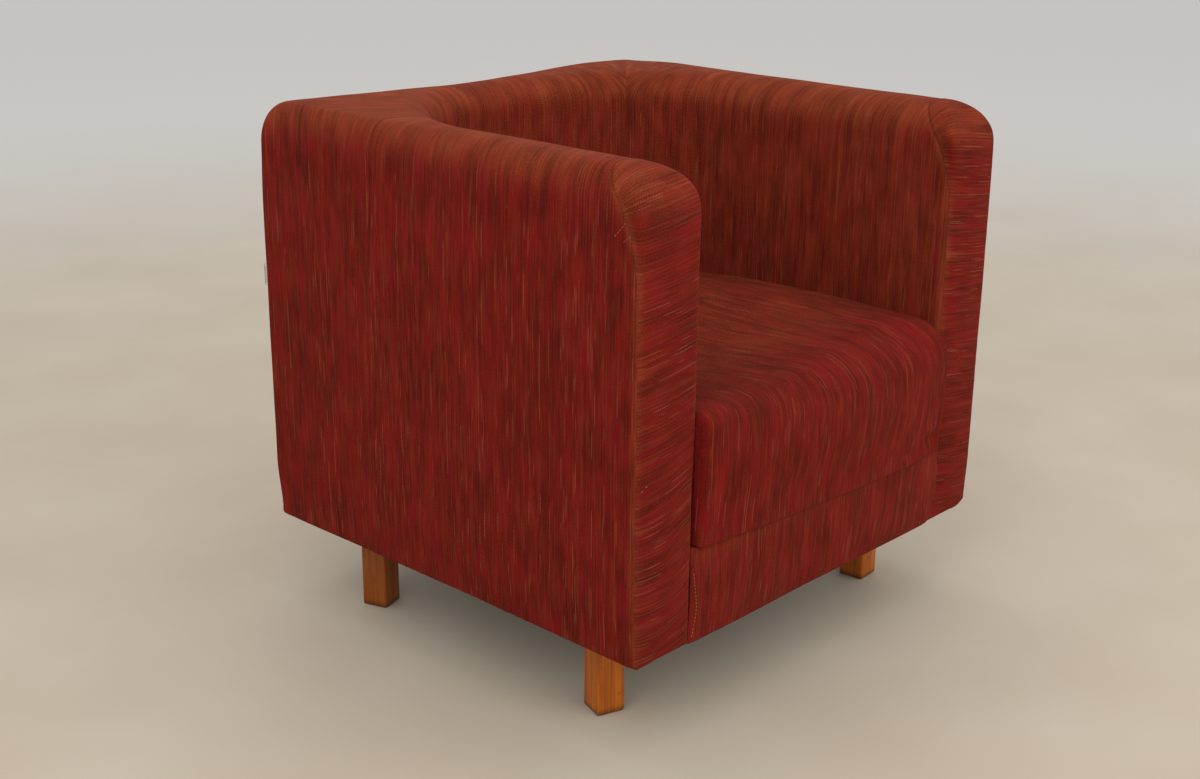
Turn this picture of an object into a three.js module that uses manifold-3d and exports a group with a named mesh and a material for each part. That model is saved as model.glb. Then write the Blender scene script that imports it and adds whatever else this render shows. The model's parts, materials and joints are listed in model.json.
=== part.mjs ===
// An old upholstered tub armchair: square outside, half-round inside, on four square wooden legs.
// Millimetres, +Z up, the floor at z = 0. The sitter looks along -Y and has the right arm at -X.
import * as THREE from "three";
import { mergeVertices } from "three/addons/utils/BufferGeometryUtils.js";
import Module from "manifold-3d";

const wasm = await Module();
wasm.setup();

// Overall sizes over the covers
const bodyWidth = 700;
const bodyDepth = 665;
const crestHeight = 692; // floor to the top of the arms
const backDip = 8; // how far the crest has sunk at the middle of the back
const armThickness = 96;
const backThickness = 68.5; // at the middle of the back
const rearCornerRadius = 12; // upright rear corners, in plan
const frontTopRadius = 55; // where the top of each arm turns down into its facing
const armOuterRound = 38;
const armInnerRound = 45;
const backOuterRound = 27;
const backInnerRound = 38;

// Seat
const seatHeight = 415;
const seatRearFall = 10; // how much lower the seat is at the back
const seatOverhang = 24; // how far the seat's front stands proud of the arm facings
const seatBow = 7; // how much of that it loses at its ends
const creaseHeight = 240; // where the seat cover meets the front border
const seatLipRound = 12;
const seatFrontRound = 60;
const seatSideGap = 1.5; // the slit between the seat and each arm

// Covers, padding and panels
const coverThickness = 2;
const panelThickness = 3;
const linerThickness = 3;
const insideFoam = 30;
const topPadding = 32;
const facingPadding = 13.7;
const borderProud = 4; // how far the front border puffs out past the facings
const borderRound = 9;
const facingSeamStart = 500; // height at which a facing's seam leaves the front edge
const facingSeamReach = 62; // how far back over the arm it has run at the crest
const facingSeamCurve = 3.6;
const dustCoverThickness = 1.2;
const dustCoverMargin = 20;
const insulatorThickness = 3;

// Frame
const railThickness = 25;
const railHeight = 110;
const boardThickness = 18;
const postSize = 40;
const tackingRise = 28; // from the top of the rails to the tacking rails
const tackingWidth = 25;
const panelTopDrop = 4; // how far the outer panels stop below the top boards
const panelEndGap = 4; // and short of the rear corner rounds
const blockThickness = 32;
const blockMargin = 45; // corner block past the leg bolt

// Legs and their bolts
const legHeight = 122.2;
const legSize = 38;
const legArris = 3;
const legFootChamfer = 2.5;
const legSideInset = 77; // leg centre from the side of the body
const legFrontInset = 122.5;
const legRearInset = 119.5;
const boltRadius = 4;
const boltInLeg = 34;
const boltInBlock = 26;
const boltTip = 5;
const boltClearance = 0.3;

// Each leg has worked round a little on its bolt, in degrees from above
const legTurn = { front_right: -18.5, front_left: 4, rear_right: 18.5, rear_left: -6 };

// Spring deck
const springCount = 4;
const springSpacing = 122;
const springWidth = 52;
const springPitch = 30;
const wireRadius = 1.9;
const wireSides = 6;
const deckSag = 12; // how far the old springs hang at mid-span
const clipThickness = 1.2;
const clipLength = 16;
const clipTail = 10;
const clipLip = 5;

const fit = 0.3; // between pieces that touch
const smoothSteps = 6; // facets in a quarter round

// Places that follow from the sizes above, with the middle of the body at x = 0, y = 0
const halfWidth = bodyWidth / 2;
const frontY = -bodyDepth / 2;
const rearY = bodyDepth / 2;
const insideHalf = halfWidth - armThickness;
const tubCentreY = rearY - backThickness - insideHalf;
const padInset = coverThickness + fit;
const frameInset = padInset + panelThickness + fit;
const linerInset = padInset + insideFoam + fit;
const frameInnerInset = linerInset + linerThickness + fit;
const frameOuterX = halfWidth - frameInset;
const frameInnerX = insideHalf + frameInnerInset;
const frameRearY = rearY - frameInset;
const facingPadBack = frontY + padInset + facingPadding;
const frameFrontY = facingPadBack + fit;
const frontBoardBack = frameFrontY + boardThickness;
const postInnerX = frameOuterX - postSize;
const postFrontY = frameRearY - postSize;
const bodyBottom = legHeight + fit;
const frameBottom = bodyBottom + dustCoverThickness + fit;
const railTop = frameBottom + railHeight;
const tackingBottom = railTop + tackingRise;
const tackingTop = tackingBottom + boardThickness;
const boardTop = crestHeight - padInset - topPadding;
const boardBottom = boardTop - boardThickness;
const panelTop = boardTop - panelTopDrop;
const backSeamHeight = crestHeight - backDip - backOuterRound;
const wireHeight = railTop + fit + clipThickness + fit + wireRadius;
const springFrontY = frameFrontY + railThickness / 2;
const springRearY = frameRearY - railThickness / 2;
const seatFrontY = frontY - seatOverhang;
const armEnd = tubCentreY - fit / 2; // the arms' pieces end and the back's begin at the half-round
const backStart = tubCentreY + fit / 2;
const beyond = frontY - frontTopRadius; // clear of the front, for cuts
const sides = [
  { name: "right", sign: -1 },
  { name: "left", sign: 1 },
];

// Materials, coloured as the pieces look
function paint(colour, roughness, metalness = 0) {
  return new THREE.MeshStandardMaterial({ color: colour, roughness, metalness });
}
const slubCloth = paint(0x6e1c14, 0.9);
const legWood = paint(0x8c4a18, 0.4);
const frameWood = paint(0xb58a5a, 0.8);
const board = paint(0x6f5136, 0.85);
const foam = paint(0xd8c27a, 0.95);
const wadding = paint(0xe4ddcf, 0.95);
const felt = paint(0x77736c, 0.98);
const dustCloth = paint(0x1c1b1a, 0.95);
const springSteel = paint(0x5c5e62, 0.35, 1);
const zincSteel = paint(0xa9abad, 0.35, 1);

const chair = new THREE.Group();

function add(name, geometry, material) {
  const mesh = new THREE.Mesh(geometry, material);
  mesh.name = name;
  chair.add(mesh);
  return mesh;
}

// Joining and cutting

function solid(geometry) {
  const bare = geometry.index ? geometry.toNonIndexed() : geometry.clone();
  bare.deleteAttribute("normal");
  bare.deleteAttribute("uv");
  const merged = mergeVertices(bare, 1e-3);
  return new wasm.Manifold(
    new wasm.Mesh({
      numProp: 3,
      vertProperties: merged.attributes.position.array,
      triVerts: new Uint32Array(merged.index.array),
    }),
  );
}

function geometryOf(body) {
  const mesh = body.getMesh();
  const points = new Float32Array(mesh.numVert * 3);
  for (let i = 0; i < mesh.numVert; i++) {
    points.set(mesh.vertProperties.subarray(i * mesh.numProp, i * mesh.numProp + 3), i * 3);
  }
  return new THREE.BufferGeometry()
    .setAttribute("position", new THREE.BufferAttribute(points, 3))
    .setIndex(new THREE.BufferAttribute(mesh.triVerts, 1));
}

// Simple bodies

function slab(x0, x1, y0, y1, z0, z1) {
  const box = new THREE.BoxGeometry(Math.abs(x1 - x0), y1 - y0, z1 - z0);
  return box.translate((x0 + x1) / 2, (y0 + y1) / 2, (z0 + z1) / 2);
}

// A plan outline raised from z0 to z1
function prism(shape, z0, z1) {
  const options = { depth: z1 - z0, bevelEnabled: false, curveSegments: 2 * smoothSteps };
  return new THREE.ExtrudeGeometry(shape, options).translate(0, 0, z0);
}

// A side outline, drawn in Y and Z, carried across from x0 to x1
function crossPrism(shape, x0, x1) {
  const options = { depth: x1 - x0, bevelEnabled: false, curveSegments: smoothSteps };
  const across = new THREE.Matrix4().makeBasis(
    new THREE.Vector3(0, 1, 0),
    new THREE.Vector3(0, 0, 1),
    new THREE.Vector3(1, 0, 0),
  );
  return new THREE.ExtrudeGeometry(shape, options).applyMatrix4(across).translate(x0, 0, 0);
}

// A closed skin over a row of convex rings that have as many points each
function loft(rings) {
  const count = rings[0].length;
  const triangles = [];
  const middle = (ring) =>
    ring.reduce((sum, p) => sum.add(p), new THREE.Vector3()).divideScalar(count);
  for (let k = 0; k + 1 < rings.length; k++) {
    for (let i = 0; i < count; i++) {
      const j = (i + 1) % count;
      triangles.push(rings[k][i], rings[k][j], rings[k + 1][i]);
      triangles.push(rings[k][j], rings[k + 1][j], rings[k + 1][i]);
    }
  }
  const first = rings[0];
  const last = rings[rings.length - 1];
  const firstMiddle = middle(first);
  const lastMiddle = middle(last);
  for (let i = 0; i < count; i++) {
    const j = (i + 1) % count;
    triangles.push(first[j], first[i], firstMiddle);
    triangles.push(last[i], last[j], lastMiddle);
  }
  return new THREE.BufferGeometry().setFromPoints(triangles);
}

function spread(from, to, steps) {
  return Array.from({ length: steps }, (_, i) => from + ((to - from) * i) / steps);
}

// The tub wall: an upright wall with a rounded top, square outside and half-round inside.
// Every layer of it, from the cover to the frame, is the same wall with a different inset.

// Where a ray from the half-round's centre leaves the square outline, and the skew of the wall there
function outerHit(angle, inset) {
  const across = halfWidth - inset;
  const back = rearY - inset - tubCentreY;
  const radius = Math.max(rearCornerRadius - inset, 1);
  const ray = new THREE.Vector2(Math.abs(Math.cos(angle)), Math.sin(angle));
  const side = Math.sign(Math.cos(angle)) || 1;
  let reach = across / Math.max(ray.x, 1e-9);
  let facing = ray.x;
  if (reach * ray.y > back - radius) {
    reach = back / ray.y;
    facing = ray.y;
    if (reach * ray.x > across - radius) {
      const corner = new THREE.Vector2(across - radius, back - radius);
      const along = corner.dot(ray);
      const aside = corner.lengthSq() - along * along;
      reach = along + Math.sqrt(Math.max(radius * radius - aside, 0));
      facing = ray.clone().multiplyScalar(reach).sub(corner).divideScalar(radius).dot(ray);
    }
  }
  return { x: side * reach * ray.x, y: tubCentreY + reach * ray.y, facing };
}

// The crest is level along the arms and dips over the middle of the back
function crestAt(angle) {
  const start = Math.SQRT1_2;
  const share = Math.max(0, (Math.sin(angle) - start) / (1 - start));
  return crestHeight - backDip * share;
}

// One upright section through the wall, as a ring of points from the inside foot over the top
function wallRing(outer, inner, crest, turn, facing, inset, bottom) {
  const length = Math.hypot(outer.x - inner.x, outer.y - inner.y);
  const wantOuter = THREE.MathUtils.lerp(armOuterRound, backOuterRound, turn) - inset;
  const wantInner = THREE.MathUtils.lerp(armInnerRound, backInnerRound, turn) - inset;
  const room = Math.min(1, (0.98 * length) / (wantOuter / facing + wantInner));
  const outerRound = wantOuter * room;
  const innerRound = wantInner * room;
  const top = crest - inset;
  const section = [[0, bottom]];
  for (let i = 0; i <= smoothSteps; i++) {
    const a = (Math.PI / 2) * (i / smoothSteps);
    const along = (outerRound / facing) * (1 - Math.cos(a));
    section.push([along, top - outerRound * (1 - Math.sin(a))]);
  }
  for (let i = smoothSteps; i >= 0; i--) {
    const a = (Math.PI / 2) * (i / smoothSteps);
    section.push([length - innerRound * (1 - Math.cos(a)), top - innerRound * (1 - Math.sin(a))]);
  }
  section.push([length, bottom]);
  return section.reverse().map(([along, z]) => {
    const share = along / length;
    const x = THREE.MathUtils.lerp(outer.x, inner.x, share);
    const y = THREE.MathUtils.lerp(outer.y, inner.y, share);
    return new THREE.Vector3(x, y, z);
  });
}

function wall(inset, bottom) {
  const cornerFrom = Math.atan2(rearY - rearCornerRadius - tubCentreY, halfWidth);
  const cornerTo = Math.atan2(rearY - tubCentreY, halfWidth - rearCornerRadius);
  const quarter = [...spread(0, cornerFrom, 5), ...spread(cornerFrom, cornerTo, 4)];
  const angles = [
    ...quarter,
    ...spread(cornerTo, Math.PI - cornerTo, 12),
    ...quarter.map((a) => Math.PI - a).concat(Math.PI - cornerTo).sort((a, b) => a - b),
  ];
  const armRing = (sign) => {
    const y = frontY - frontTopRadius;
    const outer = { x: sign * (halfWidth - inset), y };
    const inner = { x: sign * (insideHalf + inset), y };
    return wallRing(outer, inner, crestHeight, 0, 1, inset, bottom);
  };
  const backRing = (angle) => {
    const outer = outerHit(angle, inset);
    const radius = insideHalf + inset;
    const x = radius * Math.cos(angle);
    const inner = { x, y: tubCentreY + radius * Math.sin(angle) };
    const turn = Math.min(1, Math.min(angle, Math.PI - angle) / cornerTo);
    return wallRing(outer, inner, crestAt(angle), turn, outer.facing, inset, bottom);
  };
  return solid(loft([armRing(1), ...angles.map(backRing), armRing(-1)]));
}

// Everything behind the rounded fronts of the arms, set back by an inset
function behindFront(inset, bottom) {
  const radius = frontTopRadius - inset;
  const front = frontY + inset;
  const shape = new THREE.Shape();
  shape.moveTo(front, bottom);
  shape.lineTo(rearY + frontTopRadius, bottom);
  shape.lineTo(rearY + frontTopRadius, crestHeight - inset);
  shape.lineTo(front + radius, crestHeight - inset);
  shape.absarc(front + radius, crestHeight - inset - radius, radius, Math.PI / 2, Math.PI, false);
  shape.closePath();
  return solid(crossPrism(shape, -bodyWidth, bodyWidth));
}

// Everything behind the facings' seam, which leans back over the round at the top
function behindSeam(gap) {
  const rear = rearY + gap + 1;
  const shape = new THREE.Shape();
  shape.moveTo(rear, crestHeight + 1);
  shape.lineTo(rear, 0);
  shape.lineTo(frontY + padInset + gap, 0);
  for (let i = 0; i <= smoothSteps; i++) {
    const share = i / smoothSteps;
    const z = THREE.MathUtils.lerp(facingSeamStart, crestHeight, share);
    const run = facingSeamReach * share ** facingSeamCurve;
    shape.lineTo(frontY + padInset + gap + run, z);
  }
  shape.lineTo(frontY + padInset + gap + facingSeamReach, crestHeight + 1);
  shape.closePath();
  return solid(crossPrism(shape, -bodyWidth, bodyWidth));
}

// The padded wall at an inset from the finished surface
function tub(inset, bottom) {
  return wall(inset, bottom).intersect(behindFront(inset, bottom - 1));
}

// The plan of the space inside the tub, grown by an inset, open to the front
function insidePlan(inset, front) {
  const radius = insideHalf + inset;
  const shape = new THREE.Shape();
  shape.moveTo(-radius, front);
  shape.lineTo(radius, front);
  shape.lineTo(radius, tubCentreY);
  shape.absarc(0, tubCentreY, radius, 0, Math.PI, false);
  shape.closePath();
  return shape;
}

// Legs, bolts and corner blocks

function leg() {
  const ring = (half, z) => {
    const points = [];
    const round = legArris - (legSize / 2 - half);
    for (let corner = 0; corner < 4; corner++) {
      const a0 = (corner * Math.PI) / 2;
      const sx = corner === 0 || corner === 3 ? 1 : -1;
      const sy = corner < 2 ? 1 : -1;
      for (let i = 0; i <= 2; i++) {
        const a = a0 + (i * Math.PI) / 4;
        const x = sx * (half - round) + round * Math.cos(a);
        const y = sy * (half - round) + round * Math.sin(a);
        points.push(new THREE.Vector3(x, y, z));
      }
    }
    return points;
  };
  const full = legSize / 2;
  const body = solid(
    loft([ring(full - legFootChamfer, 0), ring(full, legFootChamfer), ring(full, legHeight)]),
  );
  const bore = cylinder(boltRadius + boltClearance, legHeight - boltInLeg - 1, legHeight + 1);
  return geometryOf(body.subtract(solid(bore)));
}

function cylinder(radius, z0, z1) {
  const tube = new THREE.CylinderGeometry(radius, radius, z1 - z0, 16);
  return tube.rotateX(Math.PI / 2).translate(0, 0, (z0 + z1) / 2);
}

function hangerBolt() {
  const profile = [
    [0, -boltInLeg],
    [boltRadius, -boltInLeg],
    [boltRadius, boltInBlock - boltTip],
    [boltRadius / 3, boltInBlock],
    [0, boltInBlock],
  ].map(([r, z]) => new THREE.Vector2(r, z));
  return new THREE.LatheGeometry(profile, 12).rotateX(Math.PI / 2).translate(0, 0, legHeight);
}

// A block glued into a corner of the rails, bored for the leg bolt and notched round a post
function cornerBlock(sign, end, boltX, boltY) {
  const sideX = frameOuterX - railThickness - fit;
  const front = frameFrontY + railThickness + fit;
  const rear = frameRearY - railThickness - fit;
  const endY = end === "front" ? front : rear;
  const inward = end === "front" ? 1 : -1;
  const wide = sideX - boltX + blockMargin;
  const deep = Math.abs(boltY - endY) + blockMargin;
  const shape = new THREE.Shape();
  const corner = (u, v) => [sideX - u, endY + inward * v];
  const outline = [
    corner(0, 0),
    corner(wide, 0),
    corner(wide, deep / 2),
    corner(wide / 2, deep),
    corner(0, deep),
  ];
  shape.setFromPoints(outline.map(([x, y]) => new THREE.Vector2(sign * x, y)));
  const top = frameBottom + blockThickness;
  const bore = cylinder(boltRadius + boltClearance, frameBottom - 1, bodyBottom + boltInBlock + 1);
  let body = solid(prism(shape, frameBottom, top));
  body = body.subtract(solid(bore.translate(sign * boltX, boltY, 0)));
  if (end === "rear") {
    const cut = slab(
      sign * (postInnerX - fit),
      sign * halfWidth,
      postFrontY - fit,
      rearY,
      frameBottom - 1,
      top + 1,
    );
    body = body.subtract(solid(cut));
  }
  return geometryOf(body);
}

for (const { name, sign } of sides) {
  for (const end of ["front", "rear"]) {
    const x = halfWidth - legSideInset;
    const y = end === "front" ? frontY + legFrontInset : rearY - legRearInset;
    const turned = add(`leg_${end}_${name}`, leg(), legWood);
    turned.position.set(sign * x, y, 0);
    turned.rotation.z = THREE.MathUtils.degToRad(legTurn[`${end}_${name}`]);
    const bolt = add(`leg_bolt_${end}_${name}`, hangerBolt(), zincSteel);
    bolt.position.set(sign * x, y, 0);
    add(`corner_block_${end}_${name}`, cornerBlock(sign, end, x, y), frameWood);
  }
}

// Frame of rails, posts and boards

const railEndX = frameInnerX - fit;
const frontRail = slab(
  -railEndX,
  railEndX,
  frameFrontY,
  frameFrontY + railThickness,
  frameBottom,
  railTop,
);
add("front_rail", frontRail, frameWood);

const rearRailEndX = postInnerX - fit;
const rearRail = slab(
  -rearRailEndX,
  rearRailEndX,
  frameRearY - railThickness,
  frameRearY,
  frameBottom,
  railTop,
);
add("rear_rail", rearRail, frameWood);

// A post in the rear corner, its outer arris rounded to the corner of the covers
function backPost(sign) {
  const round = rearCornerRadius - frameInset;
  const shape = new THREE.Shape();
  shape.moveTo(postInnerX, postFrontY);
  shape.lineTo(frameOuterX, postFrontY);
  shape.lineTo(frameOuterX, frameRearY - round);
  shape.absarc(frameOuterX - round, frameRearY - round, round, 0, Math.PI / 2, false);
  shape.lineTo(postInnerX, frameRearY);
  shape.closePath();
  const right = prism(shape, frameBottom, boardBottom - fit);
  return sign > 0 ? right : geometryOf(solid(right).mirror([1, 0, 0]));
}

for (const { name, sign } of sides) {
  const inner = sign * frameInnerX;
  const outer = sign * frameOuterX;
  const railInner = sign * (frameOuterX - railThickness);
  const sideRail = slab(
    railInner,
    outer,
    frontBoardBack + fit,
    postFrontY - fit,
    frameBottom,
    railTop,
  );
  add(`side_rail_${name}`, sideRail, frameWood);
  const frontBoard = slab(
    inner,
    outer,
    frameFrontY,
    frontBoardBack,
    frameBottom,
    boardBottom - fit,
  );
  add(`arm_front_board_${name}`, frontBoard, board);
  const topBoard = slab(inner, outer, frameFrontY, armEnd, boardBottom, boardTop);
  add(`arm_top_board_${name}`, topBoard, board);
  const tackingRail = slab(
    inner,
    sign * (frameInnerX + tackingWidth),
    frontBoardBack + fit,
    armEnd,
    tackingBottom,
    tackingTop,
  );
  add(`tacking_rail_${name}`, tackingRail, frameWood);
  add(`back_post_${name}`, backPost(sign), frameWood);
}

// The boards of the back: square outside, with a half-round cut-out for the tub
function backBoardPlan() {
  const round = rearCornerRadius - frameInset;
  const from = backStart;
  const cornerX = frameOuterX - round;
  const cornerY = frameRearY - round;
  const shape = new THREE.Shape();
  shape.moveTo(frameInnerX, from);
  shape.lineTo(frameOuterX, from);
  shape.lineTo(frameOuterX, cornerY);
  shape.absarc(cornerX, cornerY, round, 0, Math.PI / 2, false);
  shape.lineTo(-cornerX, frameRearY);
  shape.absarc(-cornerX, cornerY, round, Math.PI / 2, Math.PI, false);
  shape.lineTo(-frameOuterX, from);
  shape.lineTo(-frameInnerX, from);
  shape.absarc(0, from, frameInnerX, Math.PI, 0, true);
  shape.closePath();
  return shape;
}

add("back_top_board", prism(backBoardPlan(), boardBottom, boardTop), board);

// The lower one is notched round both posts
function lowerBackBoard() {
  let body = solid(prism(backBoardPlan(), tackingBottom, tackingTop));
  for (const { sign } of sides) {
    const notch = slab(
      sign * (postInnerX - fit),
      sign * halfWidth,
      postFrontY - fit,
      rearY,
      tackingBottom - 1,
      tackingTop + 1,
    );
    body = body.subtract(solid(notch));
  }
  return geometryOf(body);
}
add("back_lower_board", lowerBackBoard(), board);

// Thin panels under the covers

for (const { name, sign } of sides) {
  const outer = halfWidth - padInset;
  const panel = slab(
    sign * (outer - panelThickness),
    sign * outer,
    frameFrontY,
    rearY - rearCornerRadius - panelEndGap,
    frameBottom,
    panelTop,
  );
  add(`side_panel_${name}`, panel, board);
}

const backPanelHalf = halfWidth - rearCornerRadius - panelEndGap;
const backPanel = slab(
  -backPanelHalf,
  backPanelHalf,
  rearY - padInset - panelThickness,
  rearY - padInset,
  frameBottom,
  panelTop,
);
add("back_panel", backPanel, board);

// One board bent round the inside of the frame, which carries the foam
function tubLiner() {
  const hollow = prism(insidePlan(linerInset, beyond), tackingBottom - 1, boardTop + 1);
  const outline = insidePlan(linerInset + linerThickness, frontBoardBack);
  return geometryOf(solid(prism(outline, tackingBottom, boardTop)).subtract(solid(hollow)));
}
add("tub_liner", tubLiner(), board);

// Spring deck

// The centreline of a zigzag spring: straight bars across, joined by half-round bends
class ZigzagLine extends THREE.Curve {
  constructor(bars, pitch, x) {
    super();
    Object.assign(this, { bars, pitch, x });
    this.arcLengthDivisions = bars * 40;
  }
  getPoint(t, target = new THREE.Vector3()) {
    const bar = springWidth - this.pitch;
    const bend = (Math.PI * this.pitch) / 2;
    const length = t * (this.bars * bar + (this.bars - 1) * bend);
    const k = Math.min(Math.floor(length / (bar + bend)), this.bars - 1);
    const rest = length - k * (bar + bend);
    const side = k % 2 ? -1 : 1;
    let across = Math.min(rest, bar) - bar / 2;
    let along = k * this.pitch;
    if (rest > bar) {
      const a = (rest - bar) / (this.pitch / 2);
      across += (this.pitch / 2) * Math.sin(a);
      along += (this.pitch / 2) * (1 - Math.cos(a));
    }
    const y = springFrontY + along;
    return target.set(this.x + side * across, y, wireHeight - sagAt(y));
  }
}

function sagAt(y) {
  const share = (y - springFrontY) / (springRearY - springFrontY);
  return 4 * deckSag * Math.max(0, share * (1 - share));
}

function zigzagSpring(x) {
  const bars = Math.round((springRearY - springFrontY) / springPitch) + 1;
  const pitch = (springRearY - springFrontY) / (bars - 1);
  const section = new THREE.Shape();
  section.absarc(0, 0, wireRadius, 0, 2 * Math.PI, false);
  return new THREE.ExtrudeGeometry(section, {
    steps: bars * 6,
    curveSegments: wireSides / 2,
    bevelEnabled: false,
    extrudePath: new ZigzagLine(bars, pitch, x),
  });
}

// A steel clip nailed to a rail, folded over the end bar of a spring
function springClip(x, y, inward) {
  const inner = wireRadius + fit;
  const outer = inner + clipThickness;
  const quarter = Math.PI / 2;
  const shape = new THREE.Shape();
  shape.moveTo(-clipTail, -outer);
  shape.lineTo(0, -outer);
  shape.absarc(0, 0, outer, -quarter, quarter, false);
  shape.lineTo(-clipLip, outer);
  shape.lineTo(-clipLip, inner);
  shape.lineTo(0, inner);
  shape.absarc(0, 0, inner, quarter, -quarter, true);
  shape.lineTo(-clipTail, -inner);
  shape.closePath();
  const clip = crossPrism(shape, -clipLength / 2, clipLength / 2);
  if (inward < 0) {
    clip.rotateZ(Math.PI);
  }
  return clip.translate(x, y, wireHeight);
}

for (let i = 0; i < springCount; i++) {
  const x = (i - (springCount - 1) / 2) * springSpacing;
  add(`zigzag_spring_${i + 1}`, zigzagSpring(x), springSteel);
  add(`spring_clip_front_${i + 1}`, springClip(x, springFrontY, 1), zincSteel);
  add(`spring_clip_rear_${i + 1}`, springClip(x, springRearY, -1), zincSteel);
}

// The underside of what lies on the springs, and of the foam on top of it, hangs with them
const insulatorFrontY = springFrontY + wireRadius + fit + clipThickness + fit;
const insulatorRearY = tubCentreY + insideHalf - seatSideGap - coverThickness;
const insulatorLow = wireHeight + wireRadius + fit;
const foamLow = insulatorLow + insulatorThickness + fit;

function hangingLine(low, from, to) {
  return [...spread(from, to, 8), to].map((y) => new THREE.Vector2(y, low - sagAt(y)));
}

// The plan of the seat, inside the tub by a gap
function seatPlan(inset) {
  return insidePlan(-seatSideGap - inset, seatFrontY - 1);
}

function springInsulator() {
  const under = hangingLine(insulatorLow, insulatorFrontY, insulatorRearY);
  const over = hangingLine(insulatorLow + insulatorThickness, insulatorFrontY, insulatorRearY);
  const side = new THREE.Shape([...under, ...over.reverse()]);
  const strip = solid(crossPrism(side, -halfWidth, halfWidth));
  const outline = prism(seatPlan(coverThickness + fit), 0, seatHeight);
  return geometryOf(strip.intersect(solid(outline)));
}
add("spring_insulator", springInsulator(), felt);

// Seat

// The side outline of the seat at a share of its half-width, as a ring of points
function seatRing(share, inset, bottom) {
  const front = seatFrontY + seatBow * share * share + inset;
  const lip = seatLipRound - inset;
  const round = seatFrontRound - inset;
  const low = creaseHeight + fit / 2 + inset;
  const top = seatHeight - inset;
  const x = share * halfWidth;
  const points = [];
  points.push([front + lip, Math.min(bottom, low)]);
  for (let i = 0; i <= smoothSteps; i++) {
    const a = (Math.PI / 2) * (i / smoothSteps);
    points.push([front + lip - lip * Math.sin(a), low + lip - lip * Math.cos(a)]);
  }
  for (let i = 0; i <= smoothSteps; i++) {
    const a = (Math.PI / 2) * (i / smoothSteps);
    points.push([front + round - round * Math.cos(a), top - round + round * Math.sin(a)]);
  }
  points.push([tubCentreY, top]);
  points.push([rearY, top - seatRearFall]);
  points.push([rearY, Math.min(bottom, low)]);
  return points.reverse().map(([y, z]) => new THREE.Vector3(x, y, z));
}

function seatBody(inset, bottom) {
  const shares = [...spread(-1, 1, 8), 1];
  const rings = shares.map((share) => seatRing(share, inset, bottom));
  const body = solid(loft(rings));
  return body.intersect(solid(prism(seatPlan(inset), bottom - 1, crestHeight)));
}

function seatFoam() {
  const inset = coverThickness + fit;
  const deck = hangingLine(foamLow, springFrontY, springRearY);
  const above = [
    new THREE.Vector2(rearY, foamLow),
    new THREE.Vector2(rearY, crestHeight),
    new THREE.Vector2(seatFrontY - 1, crestHeight),
    new THREE.Vector2(seatFrontY - 1, foamLow),
  ];
  const overDeck = crossPrism(new THREE.Shape([...deck, ...above]), -halfWidth, halfWidth);
  const lowest = foamLow - deckSag - 1;
  return geometryOf(seatBody(inset, lowest).intersect(solid(overDeck)));
}
add("seat_foam", seatFoam(), foam);

function seatCover() {
  const outer = seatBody(0, creaseHeight + fit / 2);
  return geometryOf(outer.subtract(seatBody(coverThickness, bodyBottom)));
}
add("seat_cover", seatCover(), slubCloth);

// Inside foams, top padding and facing padding: pieces of the one padded wall

const padding = tub(padInset, frameBottom);

function paddingIn(x, y0, y1, z0, z1) {
  const box = slab(x[0], x[1], y0, y1, z0, z1);
  return geometryOf(padding.intersect(solid(box)));
}

for (const { name, sign } of sides) {
  const foamX = [sign * insideHalf, sign * (insideHalf + padInset + insideFoam)];
  const allX = [0, sign * halfWidth];
  const armFoam = paddingIn(foamX, frameFrontY, armEnd, tackingBottom, boardTop);
  add(`arm_foam_${name}`, armFoam, foam);
  const topPad = paddingIn(allX, frameFrontY, armEnd, boardTop + fit, crestHeight);
  add(`arm_top_pad_${name}`, topPad, wadding);
  const facingPad = paddingIn(allX, beyond, facingPadBack, frameBottom, crestHeight);
  add(`facing_pad_${name}`, facingPad, wadding);
}

// The foam bent round the inside of the back
function backFoam() {
  const plan = prism(insidePlan(padInset + insideFoam, frontY), tackingBottom, boardTop);
  const back = slab(-halfWidth, halfWidth, backStart, rearY, 0, crestHeight);
  return geometryOf(padding.intersect(solid(plan)).intersect(solid(back)));
}
add("back_foam", backFoam(), foam);

const allAcross = [-halfWidth, halfWidth];
add("back_top_pad", paddingIn(allAcross, backStart, rearY, boardTop + fit, crestHeight), wadding);

// Covers

const skin = tub(0, bodyBottom).subtract(tub(coverThickness, frameBottom - railHeight));

// One length of cloth goes up the outside, over the top and down the inside to the tacking rails
function tubCover() {
  const lowInside = prism(insidePlan(insideFoam, beyond), bodyBottom - 1, tackingBottom);
  const panelHalf = halfWidth - rearCornerRadius;
  const backOpening = slab(
    -panelHalf,
    panelHalf,
    rearY - coverThickness - fit,
    rearY + 1,
    bodyBottom - 1,
    backSeamHeight,
  );
  const cloth = skin.intersect(behindSeam(fit)).subtract(solid(lowInside));
  return geometryOf(cloth.subtract(solid(backOpening)));
}
add("tub_cover", tubCover(), slubCloth);

const backCoverHalf = halfWidth - rearCornerRadius - fit;
const outsideBack = slab(
  -backCoverHalf,
  backCoverHalf,
  rearY - coverThickness,
  rearY,
  bodyBottom,
  backSeamHeight - fit,
);
add("outside_back_cover", outsideBack, slubCloth);

// The facings are sewn in round the front of each arm
const facings = skin.subtract(behindSeam(0));
for (const { name, sign } of sides) {
  const half = slab(0, sign * bodyWidth, beyond, rearY, 0, crestHeight + 1);
  add(`facing_cover_${name}`, geometryOf(facings.intersect(solid(half))), slubCloth);
}

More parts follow.
